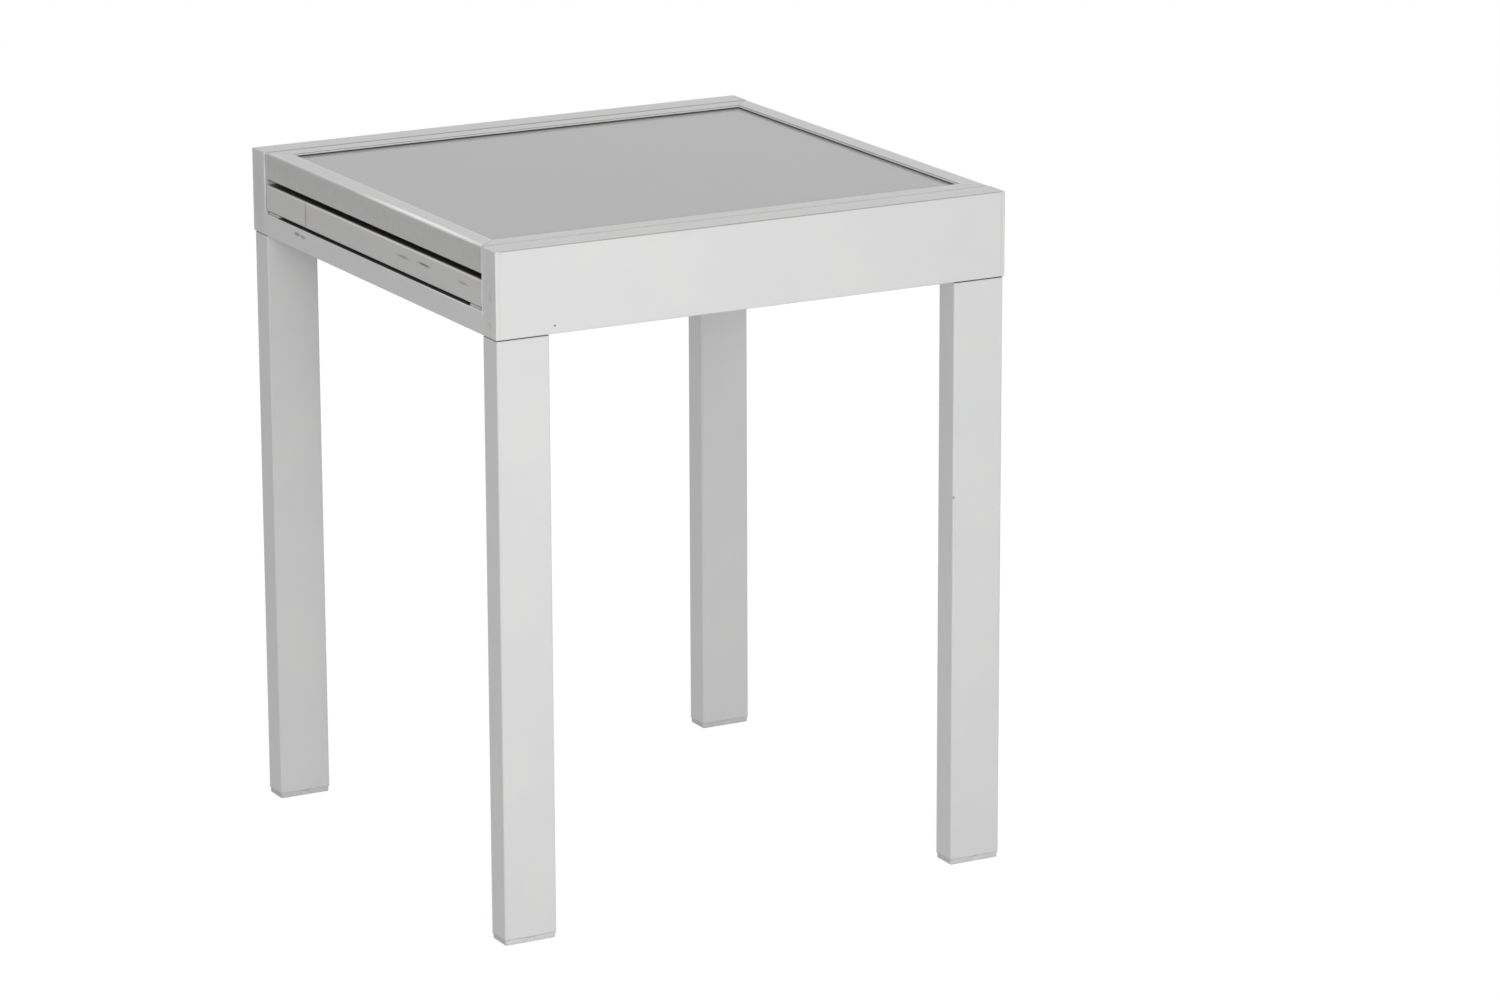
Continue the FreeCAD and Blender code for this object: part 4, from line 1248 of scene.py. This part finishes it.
@dataclass(frozen=True)
class Studio:
    """A white room without walls: a wide pale floor, a pale sky and three soft boxes.

    Args:
        sky_low: the strength of the sky's light from the horizon and below.
        sky_high: its strength from straight above.
        floor_grey: the floor's own grey, which lights the table from below.
        floor_white: how much of the floor's look is plain white, so that only a faint shadow stays.
        floor_glow: the strength of that white.
        lamps: the soft boxes.
    """

    WHITE = (1.0, 1.0, 1.0)
    FLOOR_HALF = 20.0
    FLOOR_LINES = 5

    sky_low: float = 0.395
    sky_high: float = 0.60
    floor_grey: float = 0.45
    floor_white: float = 0.86
    floor_glow: float = 1.12
    lamps: tuple[Lamp, ...] = (
        Lamp("low front soft box", (-0.75, -2.4, 1.0), (-0.1, -0.3, 0.4), 0.7, 24.5),
        Lamp("high front soft box", (0.1, -2.2, 1.5), (0.0, -0.3, 0.5), 1.0, 7.5),
        Lamp("rear right soft box", (1.7, 2.0, 1.0), (0.0, 0.0, 0.45), 1.2, 16.0),
    )

    def build(self) -> None:
        """Build the floor, the sky and the lamps, with plain colour handling."""
        self.lay_floor()
        self.paint_sky()
        for lamp in self.lamps:
            lamp.build()
        bpy.context.scene.view_settings.view_transform = "Standard"

    def seen_plainly(self, wiring: Wiring) -> Socket:
        """A mask that is 1 where the room is seen directly, in a reflection or through glass.

        Args:
            wiring: the tree to add it to.

        Returns:
            The mask's socket.
        """
        path = wiring.node("ShaderNodeLightPath").outputs
        mirrored = wiring.math("MAXIMUM", path["Is Camera Ray"], path["Is Glossy Ray"])
        return wiring.math("MAXIMUM", mirrored, path["Is Transmission Ray"])

    def lay_floor(self) -> None:
        """Lay the floor: a flat square sheet, made as a grid of points."""
        across = np.linspace(-self.FLOOR_HALF, self.FLOOR_HALF, self.FLOOR_LINES)
        x, y = np.meshgrid(across, across, indexing="ij")
        points = np.stack([x, y, np.zeros_like(x)], axis=2).reshape(-1, 3)
        index = np.arange(x.size).reshape(x.shape)
        corners = [index[:-1, :-1], index[1:, :-1], index[1:, 1:], index[:-1, 1:]]
        quads = np.stack(corners, axis=2).reshape(-1, 4)
        mesh = bpy.data.meshes.new("studio floor")
        mesh.from_pydata(points.tolist(), [], quads.tolist())
        mesh.materials.append(self.floor_material())
        floor = add_object("studio_floor", mesh)

    def floor_material(self) -> Material:
        """The floor's material: matt grey for the light it sends up, nearly plain white where it is seen.

        Returns:
            The material.
        """
        material = bpy.data.materials.new("pale studio floor")
        material.use_nodes = True
        material.node_tree.nodes.clear()
        wiring = Wiring(material.node_tree)
        matt = wiring.node("ShaderNodeBsdfDiffuse", Color=(self.floor_grey,) * 3)
        white = wiring.node("ShaderNodeEmission", Color=self.WHITE, Strength=self.floor_glow)
        share = wiring.math("MULTIPLY", self.seen_plainly(wiring), self.floor_white)
        both = wiring.node("ShaderNodeMixShader", Fac=share)
        wiring.feed(both.inputs[1], matt.outputs[0])
        wiring.feed(both.inputs[2], white.outputs[0])
        wiring.node("ShaderNodeOutputMaterial", Surface=both.outputs[0])
        return material

    def paint_sky(self) -> None:
        """Paint the sky: soft light that grows with the sine of its height, white where it is seen."""
        world = bpy.data.worlds.new("white studio")
        world.use_nodes = True
        world.node_tree.nodes.clear()
        wiring = Wiring(world.node_tree)
        direction = wiring.node("ShaderNodeTexCoord").outputs["Generated"]
        height = wiring.node("ShaderNodeSeparateXYZ", Vector=direction).outputs["Z"]
        risen = wiring.math("MULTIPLY", wiring.math("MAXIMUM", height, 0.0), self.sky_high - self.sky_low)
        strength = wiring.math("ADD", risen, self.sky_low)
        light = wiring.node("ShaderNodeBackground", Color=self.WHITE, Strength=strength)
        white = wiring.node("ShaderNodeBackground", Color=self.WHITE, Strength=1.0)
        both = wiring.node("ShaderNodeMixShader", Fac=self.seen_plainly(wiring))
        wiring.feed(both.inputs[1], light.outputs[0])
        wiring.feed(both.inputs[2], white.outputs[0])
        wiring.node("ShaderNodeOutputWorld", Surface=both.outputs[0])
        bpy.context.scene.world = world


def main() -> None:
    """Build the camera and the studio, then dress the table, sub-assembly by sub-assembly."""
    logging.basicConfig(level=logging.INFO, format="%(message)s")
    Camera().build()
    Studio().build()
    effects = Effects()
    Chassis().dress(effects)
    for corner in Corner:
        Leg(corner).dress(effects)
    Leaf(Level.UPPER, UPPER_END).dress(effects)
    Leaf(Level.LOWER, LOWER_END).dress(effects)


if __name__ == "__main__":
    main()
